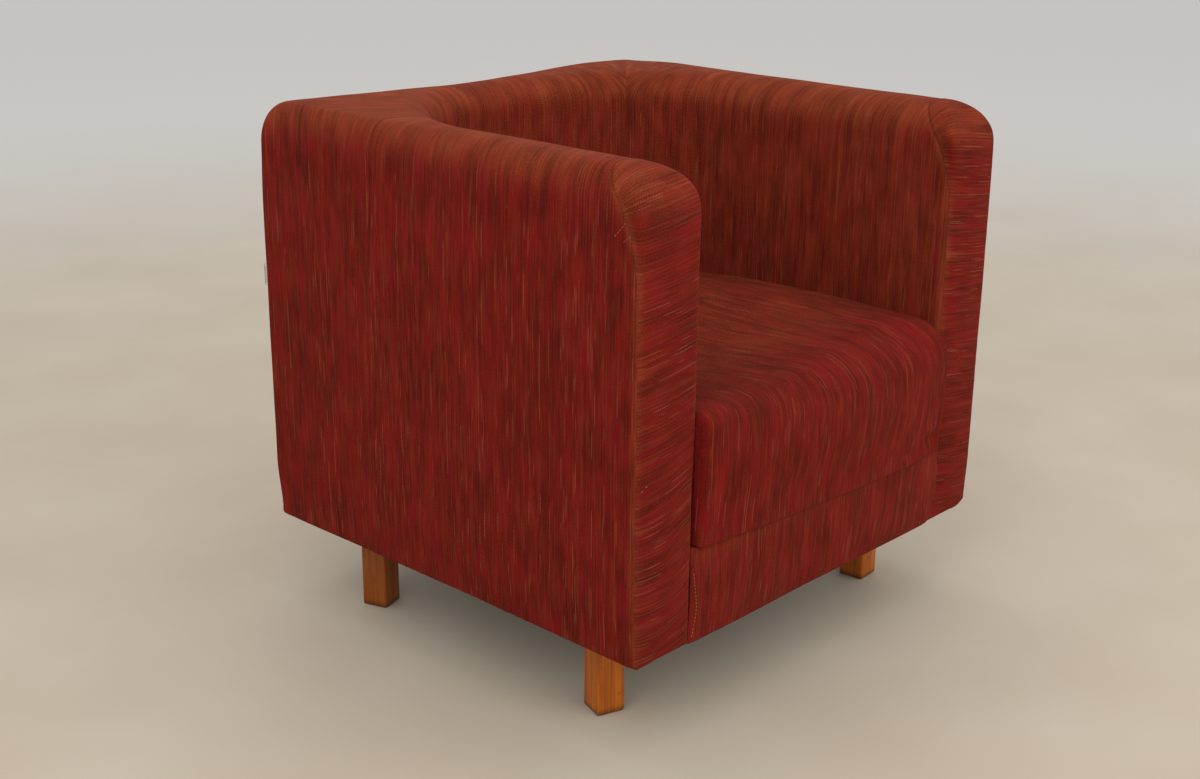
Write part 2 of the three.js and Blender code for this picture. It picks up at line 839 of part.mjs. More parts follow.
// The front border is cloth with its wadding, laid over the front rail
function frontBorder() {
  const front = frontY - borderProud;
  const top = creaseHeight - fit / 2;
  const shape = new THREE.Shape();
  shape.moveTo(facingPadBack, bodyBottom);
  shape.lineTo(facingPadBack, top);
  shape.lineTo(front + borderRound, top);
  shape.absarc(front + borderRound, top - borderRound, borderRound, Math.PI / 2, Math.PI, false);
  shape.absarc(
    front + borderRound,
    bodyBottom + borderRound,
    borderRound,
    Math.PI,
    1.5 * Math.PI,
    false,
  );
  shape.closePath();
  const end = insideHalf - fit;
  return crossPrism(shape, -end, end);
}
add("front_border", frontBorder(), slubCloth);

// A thin black cloth closes the underside, with a hole at each leg bolt
function dustCover() {
  const x = halfWidth - dustCoverMargin;
  const front = frontY + dustCoverMargin;
  const rear = rearY - dustCoverMargin;
  const shape = new THREE.Shape();
  shape.moveTo(-x, front);
  shape.lineTo(x, front);
  shape.lineTo(x, rear);
  shape.lineTo(-x, rear);
  shape.closePath();
  for (const { sign } of sides) {
    for (const y of [frontY + legFrontInset, rearY - legRearInset]) {
      const hole = new THREE.Path();
      const radius = boltRadius + boltClearance;
      hole.absarc(sign * (halfWidth - legSideInset), y, radius, 0, 2 * Math.PI, true);
      shape.holes.push(hole);
    }
  }
  return prism(shape, bodyBottom, bodyBottom + dustCoverThickness);
}
add("dust_cover", dustCover(), dustCloth);

// The origin is on the floor, under the middle of the whole chair with its proud seat
const armchair = new THREE.Group();
chair.position.y = seatOverhang / 2;
armchair.add(chair);

export default armchair;
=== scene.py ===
"""The looks of an old red tub armchair: slub cloth over padding, worn on top, on four turned square legs.

Metres, +Z up, the floor at z = 0. The sitter looks along -Y and has the right arm at -X.
"""

import json
import math

import bmesh
import bpy
import numpy as np
from mathutils import Matrix, Vector, noise
from mathutils.bvhtree import BVHTree
from mathutils.kdtree import KDTree

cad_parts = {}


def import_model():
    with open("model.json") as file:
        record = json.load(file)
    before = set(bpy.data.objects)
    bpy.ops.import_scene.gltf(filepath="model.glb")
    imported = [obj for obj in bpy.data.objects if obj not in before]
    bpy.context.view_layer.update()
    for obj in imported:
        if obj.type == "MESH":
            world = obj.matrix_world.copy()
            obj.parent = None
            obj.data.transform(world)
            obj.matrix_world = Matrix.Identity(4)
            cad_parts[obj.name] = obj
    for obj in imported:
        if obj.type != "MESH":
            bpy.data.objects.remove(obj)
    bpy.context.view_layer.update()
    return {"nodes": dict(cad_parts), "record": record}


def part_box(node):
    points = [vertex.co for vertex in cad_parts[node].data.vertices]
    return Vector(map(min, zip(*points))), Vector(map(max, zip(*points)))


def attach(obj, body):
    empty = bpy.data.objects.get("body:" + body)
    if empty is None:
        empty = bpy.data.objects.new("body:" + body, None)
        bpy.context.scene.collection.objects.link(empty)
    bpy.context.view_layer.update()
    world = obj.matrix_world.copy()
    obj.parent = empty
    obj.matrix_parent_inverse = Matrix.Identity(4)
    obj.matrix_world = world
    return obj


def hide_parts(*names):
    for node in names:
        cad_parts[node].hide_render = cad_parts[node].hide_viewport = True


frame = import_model()

# Camera, in the part's frame
CAMERA_PLACE = Vector((-1.6081, -1.4404, 1.0270))
CAMERA_AZIMUTH = math.radians(-46.889)
CAMERA_DOWN = math.radians(18.604)
CAMERA_ROLL = math.radians(0.517)
CAMERA_LENS = 49.84

# The covered body, read from the frame
tub_low, tub_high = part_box("tub_cover")
facing_low, facing_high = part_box("facing_cover_right")
seat_low, seat_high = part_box("seat_cover")
border_low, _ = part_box("front_border")
dust_low, dust_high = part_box("dust_cover")
back_low, back_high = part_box("outside_back_cover")
HALF_WIDTH = tub_high.x
FRONT = facing_low.y
REAR = tub_high.y
BOTTOM = tub_low.z
CREST = tub_high.z
ARM = facing_high.x - facing_low.x
INSIDE = HALF_WIDTH - ARM
BACK_THICKNESS = 0.0685
TUB_CENTRE = REAR - BACK_THICKNESS - INSIDE
BACK_DIP = 0.008

# Rounds of the padded wall
CORNER = 0.009
ARM_OUTER_ROUND = 0.038
ARM_INNER_ROUND = 0.045
BACK_OUTER_REACH = 0.020
CORNER_REACH_RIGHT = 0.038  # along the diagonal, at the sitter's right rear corner
CORNER_REACH_LEFT = 0.058  # the left one is rounder
CORNER_SPREAD = 0.075
BACK_OUTER_DROP = 0.050
BACK_INNER_ROUND = 0.038
BACK_TURN = math.radians(42)  # the arms' rounds become the back's over this angle
WALL_ROUNDS = (
    (ARM_OUTER_ROUND, BACK_OUTER_REACH),
    (ARM_OUTER_ROUND, BACK_OUTER_DROP),
    (ARM_INNER_ROUND, BACK_INNER_ROUND),
)
FRONT_TOP_ROUND = 0.055
TURN_Y = FRONT + FRONT_TOP_ROUND  # the middle of that round
TURN_Z = CREST - FRONT_TOP_ROUND
SHOULDER_START = 0.25  # angle up that round where the arms' edges begin to open out
EDGE_ROUND = 0.006  # upright front edges of the arms
HEM_ROUND = 0.005
HEM_UNDER = 0.030
HEM_LIFT = 0.02  # height over which the cloth comes free of the hem
HEM_RIPPLE = 0.0016
CORNER_RUB = 0.006  # how far the hem is rubbed up at the sitter's left front corner
CORNER_RUB_REACH = 0.012
CLOTH = 0.0016
TUCK_DEPTH = 0.262

# The facings' seam runs up the front edge, then back over the arm
SEAM_EDGE = 0.002
SEAM_START = 0.500
SEAM_REACH = 0.062
SEAM_CURVE = 3.6
SEAM_GROOVE = 0.0045
SEAM_DEPTH = 0.0004
SEAM_WEAR = 0.75  # the seams' edges are rubbed pale
SEAM_RUB = 0.006  # over this width

# How far the stuffing pushes the cover out
SIDE_SWELL = 0.0034
TOP_SWELL = 0.0018
INNER_SWELL = 0.0025

INSIDE_WEAR = 0.45  # the inside is a little faded all over
YARN_LEAN = 0.028  # how far back the yarns lean as they cross the arm

# Seat
SEAT_TOP = seat_high.z
SEAT_HALF = seat_high.x
SEAT_FRONT = seat_low.y
SEAT_CORNER = 0.009
SEAT_LIP = 0.006
SEAT_LIP_DEPTH = 0.003
SEAT_UNDER = 0.018  # how far in under itself the seat's cloth is turned
SEAT_LIP_RISE = 0.25  # how much of its corner's round the lip takes upwards
SEAT_LEAN = 0.005  # how far the seat's front draws back at the crease
SEAT_FRONT_ROUND = 0.022  # at the sitter's right end; it opens out to the left
SEAT_FRONT_OPENING = 0.034
SEAT_BOW = 0.007
SEAT_FALL = 0.010
SEAT_HOLLOW = 0.024
SEAT_LIFT = 0.004  # how much fuller the seat is beside the sitter's left arm
SEAT_VOXEL = 0.007
SEAT_PRESSURE = 2.2
SEAT_FRAMES = 20
SEAT_CAP = 0.004
HOLLOW_PLACE = (-0.09, -0.10)
HOLLOW_REACH = (0.18, 0.16)
SEAT_START = 0.003  # how much lower the seat is before its filling presses it out
CREASE_MIDDLE = 0.236
CREASE_SLOPE = 0.009  # this much higher at the sitter's right end, and lower at the left


def shares(count):
    """That many even steps from 0, up to but without 1."""
    return np.linspace(0, 1, count, endpoint=False)


def bell(x):
    return np.exp(-x * x)


def smooth(x):
    x = np.clip(x, 0, 1)
    return x * x * (3 - 2 * x)


def rounded(distance, radius):
    """How far a quarter round has dropped at a distance inside its edge."""
    reach = np.clip(radius - distance, 0, radius)
    return radius - np.sqrt(np.maximum(radius * radius - reach * reach, 0))


def wander(points, scale, seed):
    """Smooth noise from -1 to 1 at each of an array of points."""
    flat = points.reshape(-1, 3) * scale
    values = [noise.noise(Vector((p[0] + seed, p[1] - seed, p[2] + 2 * seed))) for p in flat]
    return np.array(values).reshape(points.shape[:-1])


def grid_normals(points):
    """Unit normals of a grid of points, along (second direction) x (first direction)."""
    along = np.gradient(points, axis=0)
    across = np.gradient(points, axis=1)
    normal = np.cross(across, along)
    length = np.linalg.norm(normal, axis=2, keepdims=True)
    return normal / np.maximum(length, 1e-12)


# Shader helpers


def operator(operation, reflected=False):
    """A method that adds a Math node for the numbers it is called with."""

    def method(self, *others):
        values = (*others, self) if reflected else (self, *others)
        node = self.finish.node("ShaderNodeMath", {"operation": operation}, values)
        return Number(self.finish, node.outputs[0])

    return method


class Number:
    """A number on its way through a material's nodes, with the usual arithmetic."""

    __add__ = operator("ADD")
    __radd__ = operator("ADD", reflected=True)
    __sub__ = operator("SUBTRACT")
    __rsub__ = operator("SUBTRACT", reflected=True)
    __mul__ = operator("MULTIPLY")
    __rmul__ = operator("MULTIPLY", reflected=True)
    __truediv__ = operator("DIVIDE")
    __rtruediv__ = operator("DIVIDE", reflected=True)
    __pow__ = operator("POWER")
    __rpow__ = operator("POWER", reflected=True)
    sine = operator("SINE")
    floor = operator("FLOOR")

    def __init__(self, finish, socket):
        self.finish = finish
        self.socket = socket

    def between(self, low, high):
        """0 below low, 1 above high and smooth in between."""
        settings = {"interpolation_type": "SMOOTHSTEP"}
        values = {"Value": self, "From Min": low, "From Max": high}
        node = self.finish.node("ShaderNodeMapRange", settings, values)
        return Number(self.finish, node.outputs[0])


def linear(red, green, blue):
    """A colour as it looks, from 0 to 255, made linear for a socket."""
    channel = [c / 255 for c in (red, green, blue)]
    return [c / 12.92 if c <= 0.04045 else ((c + 0.055) / 1.055) ** 2.4 for c in channel] + [1.0]


class Finish:
    """A material and the nodes that are added to it."""

    def __init__(self, name):
        self.material = bpy.data.materials.new(name)
        self.material.use_nodes = True
        self.tree = self.material.node_tree
        self.shader = self.tree.nodes["Principled BSDF"]

    def node(self, kind, settings=None, values=()):
        made = self.tree.nodes.new(kind)
        for key, value in (settings or {}).items():
            setattr(made, key, value)
        pairs = values.items() if isinstance(values, dict) else enumerate(values)
        for key, value in pairs:
            self.feed(made.inputs[key], value)
        return made

    def feed(self, socket, value):
        value = value.socket if isinstance(value, Number) else value
        if isinstance(value, bpy.types.NodeSocket):
            self.tree.links.new(value, socket)
        else:
            socket.default_value = value

    def set(self, **values):
        for key, value in values.items():
            self.feed(self.shader.inputs[key.replace("_", " ")], value)

    def place(self):
        return self.node("ShaderNodeTexCoord").outputs["Object"]

    def cloth_place(self):
        return self.node("ShaderNodeUVMap", {"uv_map": "Cloth"}).outputs[0]

    def stretched(self, vector, scale):
        node = self.node("ShaderNodeVectorMath", {"operation": "MULTIPLY"}, [vector, scale])
        return node.outputs[0]

    def parts(self, vector):
        node = self.node("ShaderNodeSeparateXYZ", None, [vector])
        return [Number(self, out) for out in node.outputs]

    def joined(self, x, y, z=0.0):
        return self.node("ShaderNodeCombineXYZ", None, [x, y, z]).outputs[0]

    def noise(self, vector, scale=1.0, detail=2.0, roughness=0.5):
        values = {"Vector": vector, "Scale": scale, "Detail": detail, "Roughness": roughness}
        return Number(self, self.node("ShaderNodeTexNoise", None, values).outputs["Fac"])

    def chance(self, vector):
        node = self.node("ShaderNodeTexWhiteNoise", {"noise_dimensions": "3D"}, {"Vector": vector})
        return Number(self, node.outputs["Value"])

    def attribute(self, name):
        node = self.node("ShaderNodeAttribute", {"attribute_name": name})
        return Number(self, node.outputs["Fac"])

    def mix(self, share, first, second):
        settings = {"data_type": "RGBA", "clamp_factor": True}
        node = self.node("ShaderNodeMix", settings, {0: share, 6: first, 7: second})
        return node.outputs[2]

    def ramp(self, share, stops):
        node = self.node("ShaderNodeValToRGB", None, [share])
        elements = node.color_ramp.elements
        while len(elements) < len(stops):
            elements.new(0.5)
        for element, (position, colour) in zip(elements, stops):
            element.position = position
            element.color = colour
        return node.outputs[0]

    def bump(self, height, distance, strength=1.0):
        values = {"Height": height, "Distance": distance, "Strength": strength}
        self.set(Normal=self.node("ShaderNodeBump", None, values).outputs[0])


# Materials

YARN = 0.0021  # pitch of the lengthwise yarns
WEFT = 0.0025


def slub_tone(f, u, v, yarn):
    """Brightness of the yarns: soft bands and blotches, a drift along each yarn, fine grain."""
    bands = f.noise(f.joined(u * 120, v * 8), 1, 1)
    blotches = f.noise(f.joined(u * 44, v * 20), 1, 2)
    slubs = f.noise(f.joined(yarn * 7.31, v * 12), 1, 1)
    fine = f.noise(f.joined(u * 700, v * 480), 1, 1)
    broad = f.noise(f.joined(u * 14, v * 5), 1, 1)
    return bands * 0.24 + blotches * 0.28 + slubs * 0.22 + fine * 0.42 + broad * 0.16 - 0.16


def slub_colours(f, u, v, yarn, tone):
    """Brick red, with bands of crimson, rust and dark green-brown."""
    colour = f.ramp(
        tone,
        [
            (0.34, linear(70, 18, 12)),
            (0.45, linear(91, 22, 14)),
            (0.52, linear(106, 23, 17)),
            (0.60, linear(121, 24, 20)),
            (0.72, linear(134, 36, 27)),
        ],
    )
    crimson = f.noise(f.joined(u * 60 + 31, v * 15), 1, 1)
    rust = f.noise(f.joined(yarn * 5.17, v * 15 + 40), 1, 1)
    dark = f.noise(f.joined(u * 260 + 77, v * 18), 1, 1)
    colour = f.mix(crimson.between(0.50, 0.66) * 0.5, colour, linear(122, 17, 25))
    colour = f.mix(rust.between(0.50, 0.66) * 0.34, colour, linear(116, 50, 30))
    return f.mix(dark.between(0.56, 0.72) * 0.26, colour, linear(58, 30, 20))


def pale_dashes(f, v, yarn, warp, weft):
    """Some yarns are pale for a short way, seen as a row of dots between the wefts."""
    prone = f.chance(f.joined(yarn, 5.0)).between(0.62, 0.95)
    length = f.noise(f.joined(yarn * 3.71, v * 19 + 9), 1, 1).between(0.54, 0.61)
    return prone * length * weft.between(-0.5, 0.7) * warp.between(-0.2, 0.8)


def slub_cloth():
    """Coarse slub weave in reds with broken pale dashes, rubbed to orange brown on top with painted sheen
    there, and darkened by dirt and painted shade.
    """
    f = Finish("slub_cloth")
    cloth = f.cloth_place()
    wavy = f.noise(f.stretched(cloth, (30, 6, 1)), 1, 1) - 0.5
    u, v, _ = f.parts(cloth)
    u = u + wavy * 0.0016
    yarn = (u / YARN).floor()
    warp = (u * (2 * math.pi / YARN)).sine()
    weft = (v * (2 * math.pi / WEFT) + yarn * math.pi).sine()
    pairs = (u * (math.pi / YARN)).sine()
    tone = slub_tone(f, u, v, yarn) + weft * warp * 0.06 + weft * 0.03 + pairs * 0.03
    colour = slub_colours(f, u, v, yarn, tone)
    pale = pale_dashes(f, v, yarn, warp, weft)
    colour = f.mix(pale * 0.62, colour, linear(182, 118, 82))
    # Rubbed wear and painted sheen turn the tops orange brown.
    wear_and_sheen = f.attribute("wear_and_sheen")
    patchy = f.noise(f.stretched(cloth, (14, 10, 1)), 1, 3)
    rubbed = wear_and_sheen * (patchy * 0.9 + 0.35)
    worn_and_sheen_colour = f.ramp(
        tone, [(0.36, linear(96, 42, 24)), (0.52, linear(134, 66, 36)), (0.68, linear(160, 88, 52))]
    )
    colour = f.mix(rubbed * 0.6, colour, worn_and_sheen_colour)
    # Dirt along the hems, and painted shade on the seat, darken the cloth to a dark brown.
    dirt_and_shade_mask = f.attribute("dirt_and_shade") * patchy.between(0.35, 0.7)
    colour = f.mix(dirt_and_shade_mask * 0.4, colour, linear(48, 22, 16))
    f.bump(warp * weft * 0.35 + tone * 1.4, 0.0006, 0.5)
    f.set(Base_Color=colour, Roughness=0.92)
    f.set(Sheen_Weight=0.07, Sheen_Roughness=0.4, Sheen_Tint=linear(255, 150, 110))
    f.set(Specular_IOR_Level=0.05)
    return f.material


def leg_wood():
    """Golden lacquered wood, darker at the foot, with painted shade on the rear legs and worn arrises."""
    f = Finish("leg_wood")
    place = f.place()
    _, y, z = f.parts(place)
    # Painted shade: the rear legs are darker, as if in the chair's shadow.
    rear = y.between(0.0, 0.2)
    grain = f.noise(f.stretched(place, (260, 260, 9)), 1, 4, 0.6)
    broad = f.noise(f.stretched(place, (60, 60, 4)), 1, 2)
    colour = f.ramp(
        grain * 0.7 + broad * 0.3,
        [
            (0.32, linear(128, 58, 4)),
            (0.50, linear(164, 82, 6)),
            (0.68, linear(190, 108, 14)),
        ],
    )
    foot = 1 - z.between(0.0, 0.012)
    scuffs = f.noise(f.stretched(place, (90, 90, 60)), 1, 4, 0.7).between(0.58, 0.7)
    colour = f.mix(rear * 0.5, colour, linear(88, 38, 6))
    colour = f.mix(foot * 0.75, colour, linear(52, 26, 10))
    colour = f.mix(scuffs * 0.35, colour, linear(92, 48, 18))
    f.bump(grain, 0.0002, 0.4)
    f.set(Base_Color=colour, Roughness=0.5 + scuffs * 0.3, Coat_Weight=0.08)
    f.set(Specular_IOR_Level=0.3)
    return f.material


def dust_cloth():
    """Thin black bonded cloth, dusty in patches, with a fine random fibre."""
    f = Finish("dust_cloth")
    place = f.place()
    fibre = f.noise(place, 900, 3, 0.7)
    dust = f.noise(place, 9, 4, 0.6).between(0.45, 0.75)
    colour = f.ramp(fibre, [(0.3, linear(16, 15, 15)), (0.7, linear(38, 37, 36))])
    colour = f.mix(dust * 0.25, colour, linear(96, 90, 82))
    f.bump(fibre, 0.0002, 0.6)
    f.set(Base_Color=colour, Roughness=0.93)
    return f.material


MATERIALS = {"slub_cloth": slub_cloth(), "leg_wood": leg_wood(), "dust_cloth": dust_cloth()}
SAWN = {"fine": (4, 0.6), "bump": (0.0004, 0.5), "rough": 0.85}
SOFT = {"fine": (4, 0.65), "rough": 0.95}
STEEL = {"fine": (4, 0.6), "bump": (0.0001, 0.3), "metallic": 1.0}
YARNS = {"fine": (2, 0.5), "rough": 0.9}


def mottled(name, light, dark, scales, fine, rough, bump=None, metallic=0.0):
    """Adds a material of two tones in a mottle or a grain, for all that is hidden or fine."""
    f = Finish(name)
    mottle = f.noise(f.stretched(f.place(), scales), 1, *fine)
    if bump:
        f.bump(mottle, *bump)
    f.set(Base_Color=f.ramp(mottle, [(0.35, dark), (0.65, light)]), Metallic=metallic)
    f.set(Roughness=mottle * 0.25 + rough if metallic else rough)
    MATERIALS[name] = f.material


mottled("frame_wood", linear(202, 164, 116), linear(150, 108, 66), (40, 9, 40), **SAWN)
mottled("board", linear(132, 98, 64), linear(92, 64, 40), (90, 90, 90), **SAWN)
mottled("foam", linear(222, 196, 116), linear(182, 148, 78), [420] * 3, bump=(0.0008, 0.7), **SOFT)
mottled("wadding", linear(228, 222, 208), linear(196, 188, 172), [160] * 3, bump=(0.001, 0.7), **SOFT)
mottled("felt", linear(132, 128, 120), linear(70, 68, 66), [300] * 3, bump=(0.0008, 0.7), **SOFT)
mottled("spring_steel", linear(112, 112, 116), linear(60, 56, 54), [120] * 3, rough=0.35, **STEEL)
mottled("zinc_steel", linear(186, 188, 190), linear(140, 140, 138), [120] * 3, rough=0.28, **STEEL)
mottled("thread", linear(84, 30, 24), linear(34, 14, 12), [1400] * 3, **YARNS)
mottled("pale_thread", linear(196, 140, 96), linear(150, 96, 64), [1400] * 3, **YARNS)


def coat(piece, material):
    piece.data.materials.clear()
    piece.data.materials.append(MATERIALS[material])


def finish_frame_nodes():
    """Each node that still shows gets the material of its slot."""
    for part in frame["record"]["subparts"]:
        coat(frame["nodes"][part["node"]], part["material_slot"])


# Mesh helpers


def placed(name, data):
    """A new object in the scene."""
    made = bpy.data.objects.new(name, data)
    bpy.context.scene.collection.objects.link(made)
    return made


def grid_mesh(name, points, skip=None):
    """A mesh of a grid of points, without the faces whose corners are all to be skipped."""
    rows, columns = points.shape[:2]
    index = np.arange(rows * columns).reshape(rows, columns)
    quads = np.stack([index[:-1, :-1], index[:-1, 1:], index[1:, 1:], index[1:, :-1]], axis=-1)
    if skip is not None:
        quads = quads[~skip.reshape(-1)[quads].all(axis=-1)]
    mesh = bpy.data.meshes.new(name)
    mesh.from_pydata(points.reshape(-1, 3).tolist(), [], quads.reshape(-1, 4).tolist())
    return mesh


def cloth_piece(name, points, cloth, target, wear_and_sheen=None, dirt_and_shade=None, skip=None, thick=CLOTH):
    """A closed shell below a grid of points, with its cloth coordinates in metres, its wear and painted
    sheen, and its dirt and painted shade.

    The target is a place in the grid and the direction in which the cloth faces there.
    """
    i, j, direction = target
    along, across = points[i + 1, j] - points[i, j], points[i, j + 1] - points[i, j]
    if np.dot(np.cross(across, along), direction) < 0:
        arrays = (points, cloth, wear_and_sheen, dirt_and_shade, skip)
        points, cloth, wear_and_sheen, dirt_and_shade, skip = [None if a is None else a[::-1] for a in arrays]
    mesh = grid_mesh(name, points, skip)
    layer = mesh.uv_layers.new(name="Cloth")
    corners = np.zeros(len(mesh.loops), np.int32)
    mesh.loops.foreach_get("vertex_index", corners)
    layer.data.foreach_set("uv", cloth.reshape(-1, 2)[corners].astype(np.float32).ravel())
    for label, values in (("wear_and_sheen", wear_and_sheen), ("dirt_and_shade", dirt_and_shade)):
        attribute = mesh.attributes.new(label, "FLOAT", "POINT")
        if values is not None:
            attribute.data.foreach_set("value", values.astype(np.float32).ravel())
    tidy_mesh(mesh)
    piece = placed(name, mesh)
    solidify = piece.modifiers.new("thickness", "SOLIDIFY")
    solidify.thickness = thick
    solidify.offset = -1
    solidify.use_rim = True
    return apply_modifiers(piece)


def tidy_mesh(mesh):
    """Points that coincide become one, and loose ones go."""
    work = bmesh.new()
    work.from_mesh(mesh)
    bmesh.ops.remove_doubles(work, verts=work.verts, dist=2e-6)
    loose = [v for v in work.verts if not v.link_faces]
    bmesh.ops.delete(work, geom=loose, context="VERTS")
    work.to_mesh(mesh)
    work.free()
    mesh.shade_smooth()


def apply_modifiers(piece):
    """The piece's mesh becomes what its modifiers make of it."""
    depsgraph = bpy.context.evaluated_depsgraph_get()
    made = bpy.data.meshes.new_from_object(piece.evaluated_get(depsgraph))
    piece.modifiers.clear()
    piece.data = made
    return piece


def finish(piece, slot, *nodes, fill=None, material=None):
    """Coats the piece with a material (the slot's, if no other), puts it in the root body and hides the
    CAD nodes that it stands for.
    """
    coat(piece, material or slot)
    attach(piece, "root")
    if nodes:
        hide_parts(*nodes)
    return piece


# The padded wall's surface


def end_depth(y, z):
    """Angle round the top front of an arm, and the depth inside its front-and-top outline."""
    up = np.maximum(z - TURN_Z, 0)
    fore = np.maximum(TURN_Y - y, 0)
    angle = np.where((up > 0) | (fore > 0), np.arctan2(up, np.maximum(fore, 1e-9)), 0.0)
    return angle, FRONT_TOP_ROUND - np.hypot(up, fore)


def shoulder(angle, radius):
    """Radius of an edge's round, which opens out from the front edge to the top."""
    share = smooth((angle - SHOULDER_START) / (math.pi / 2 - SHOULDER_START))
    return EDGE_ROUND + (radius - EDGE_ROUND) * share


def edge_inset(y, z, radius):
    """How far the side of an arm lies in from its widest at a place on it."""
    angle, deep = end_depth(y, z)
    wide = shoulder(angle, radius)
    up = np.clip((wide - deep) / wide, 0, 1)
    return wide * (1 - np.sqrt(1 - up * up))


def seam_y(z):
    """Where the facing's seam crosses a height: on the front edge, then back over the top."""
    share = np.clip((z - SEAM_START) / (CREST - SEAM_START), 0, 1)
    return FRONT + SEAM_EDGE + SEAM_REACH * share**SEAM_CURVE


def solve(low, high, above):
    """The height between low and high where above(height) turns false."""
    low, high = np.array(low, float), np.array(high, float)
    for _ in range(40):
        middle = (low + high) / 2
        up = above(middle)
        low = np.where(up, middle, low)
        high = np.where(up, high, middle)
    return (low + high) / 2


# Samples down a section, from the hem outside, over the top and down the inside
UNDER, HEM, OUTSIDE, ROUND, TOP, INSIDE_ROWS = 5, 4, 62, 14, 4, 46
ROWS = UNDER + HEM + OUTSIDE + 2 * ROUND + TOP + INSIDE_ROWS + 1
ARM_COLUMNS, SIDE_COLUMNS, CORNER_COLUMNS, REAR_COLUMNS = 46, 44, 10, 65
OUTSIDE_ROW = UNDER + HEM + 20  # a row part of the way up the outside
HEM_TURN = shares(HEM) * math.pi / 2
UNDER_INSETS = HEM_UNDER + (HEM_ROUND - HEM_UNDER) * shares(UNDER)
HEM_INSETS = np.concatenate([UNDER_INSETS, HEM_ROUND * (1 - np.sin(HEM_TURN))])
HEM_HEIGHTS = np.concatenate([np.full(UNDER, BOTTOM), BOTTOM + HEM_ROUND * (1 - np.cos(HEM_TURN))])


def section(crest, outer, inner, outside, inside):
    """Insets and heights down a section of the wall, from the hem outside to the tuck inside.

    Outer and inner are the insets and heights of the two rounds, from below to the crest.
    Outside and inside give the insets of the straight parts at their heights.
    """
    (s_out, z_out), (s_in, z_in) = outer, inner
    start = BOTTOM + HEM_ROUND
    side_z = start + (z_out[0] - start) * shares(OUTSIDE)
    inside_z = z_in[0] + (TUCK_DEPTH - z_in[0]) * np.linspace(0, 1, INSIDE_ROWS + 1)[1:]
    s_side = outside(side_z)
    flat = np.linspace(0, 1, TOP + 1)[1:-1]
    s_top = s_out[-1] + (s_in[-1] - s_out[-1]) * flat
    s = [HEM_INSETS + s_side[0], s_side, s_out, s_top, s_in[::-1], inside(inside_z)]
    z = [HEM_HEIGHTS, side_z, z_out, np.full(len(flat), crest), z_in[::-1], inside_z]
    return np.concatenate(s), np.concatenate(z)


def arm_column(side, y_at):
    """A section through an arm where it stands at y_at(height)."""
    top_z = solve([TURN_Z], [CREST], lambda z: end_depth(y_at(z), z)[1] > 1e-7)[0]

    def inset(z, radius):
        return edge_inset(y_at(z), z, radius)

    def climb(radius):
        """Insets and heights from where the round starts up to the top."""

        def depth_share(z):
            angle, deep = end_depth(y_at(z), z)
            return deep / shoulder(angle, radius)

        first = solve([TURN_Z], [top_z], lambda z: depth_share(z) > 1)[0]
        start = math.asin(np.clip(1 - depth_share(np.array([first]))[0], 0, 1))
        angles = start + (math.pi / 2 - start) * np.linspace(0, 1, ROUND + 1)
        low, high = np.full(ROUND + 1, first), np.full(ROUND + 1, top_z)
        z = solve(low, high, lambda h: depth_share(h) > 1 - np.sin(angles))
        z[-1] = top_z
        return inset(z, radius), z

    s_in, z_in = climb(ARM_INNER_ROUND)
    s, z = section(
        top_z,
        climb(ARM_OUTER_ROUND),
        (ARM - s_in, z_in),
        lambda h: inset(h, ARM_OUTER_ROUND),
        lambda h: ARM - inset(h, ARM_INNER_ROUND),
    )
    return np.stack([side * (HALF_WIDTH - s), y_at(z), z], axis=-1)


def outer_hit(angle):
    """Where a ray from the half-round's centre leaves the square outline."""
    back = REAR - TUB_CENTRE
    ray = np.array([abs(math.cos(angle)), math.sin(angle)])
    side = 1 if math.cos(angle) >= 0 else -1
    reach = HALF_WIDTH / max(ray[0], 1e-9)
    if reach * ray[1] > back - CORNER:
        reach = back / ray[1]
        if reach * ray[0] > HALF_WIDTH - CORNER:
            corner = np.array([HALF_WIDTH - CORNER, back - CORNER])
            along = corner @ ray
            aside = corner @ corner - along * along
            reach = along + math.sqrt(max(CORNER**2 - aside, 0))
    return side * reach * ray[0], TUB_CENTRE + reach * ray[1]


def back_column(angle):
    """A section through the back on a ray from the half-round's centre."""
    outer_x, outer_y = outer_hit(angle)
    inner_x = INSIDE * math.cos(angle)
    inner_y = TUB_CENTRE + INSIDE * math.sin(angle)
    length = math.hypot(outer_x - inner_x, outer_y - inner_y)
    turn = float(smooth(min(angle, math.pi - angle) / BACK_TURN))
    reach, drop, inner = [arm + (back - arm) * turn for arm, back in WALL_ROUNDS]
    corner_reach = CORNER_REACH_LEFT if outer_x > 0 else CORNER_REACH_RIGHT
    diagonal = bell((abs(outer_x) - HALF_WIDTH + outer_y - REAR) / CORNER_SPREAD)
    reach /= max(abs(math.cos(angle)), math.sin(angle))
    reach += (corner_reach - reach) * diagonal
    dip = max(0, (math.sin(angle) - math.sqrt(0.5)) / (1 - math.sqrt(0.5)))
    crest = CREST - BACK_DIP * dip
    up = np.linspace(0, 1, ROUND + 1) * math.pi / 2
    out, rise = 1 - np.cos(up), 1 - np.sin(up)
    outer_round = (reach * out, crest - drop * rise)
    inner_round = (length - inner * out, crest - inner * rise)
    inside = lambda h: np.full_like(h, length)
    s, z = section(crest, outer_round, inner_round, np.zeros_like, inside)
    x = outer_x + (inner_x - outer_x) * s / length
    y = outer_y + (inner_y - outer_y) * s / length
    return np.stack([x, y, z], axis=-1)


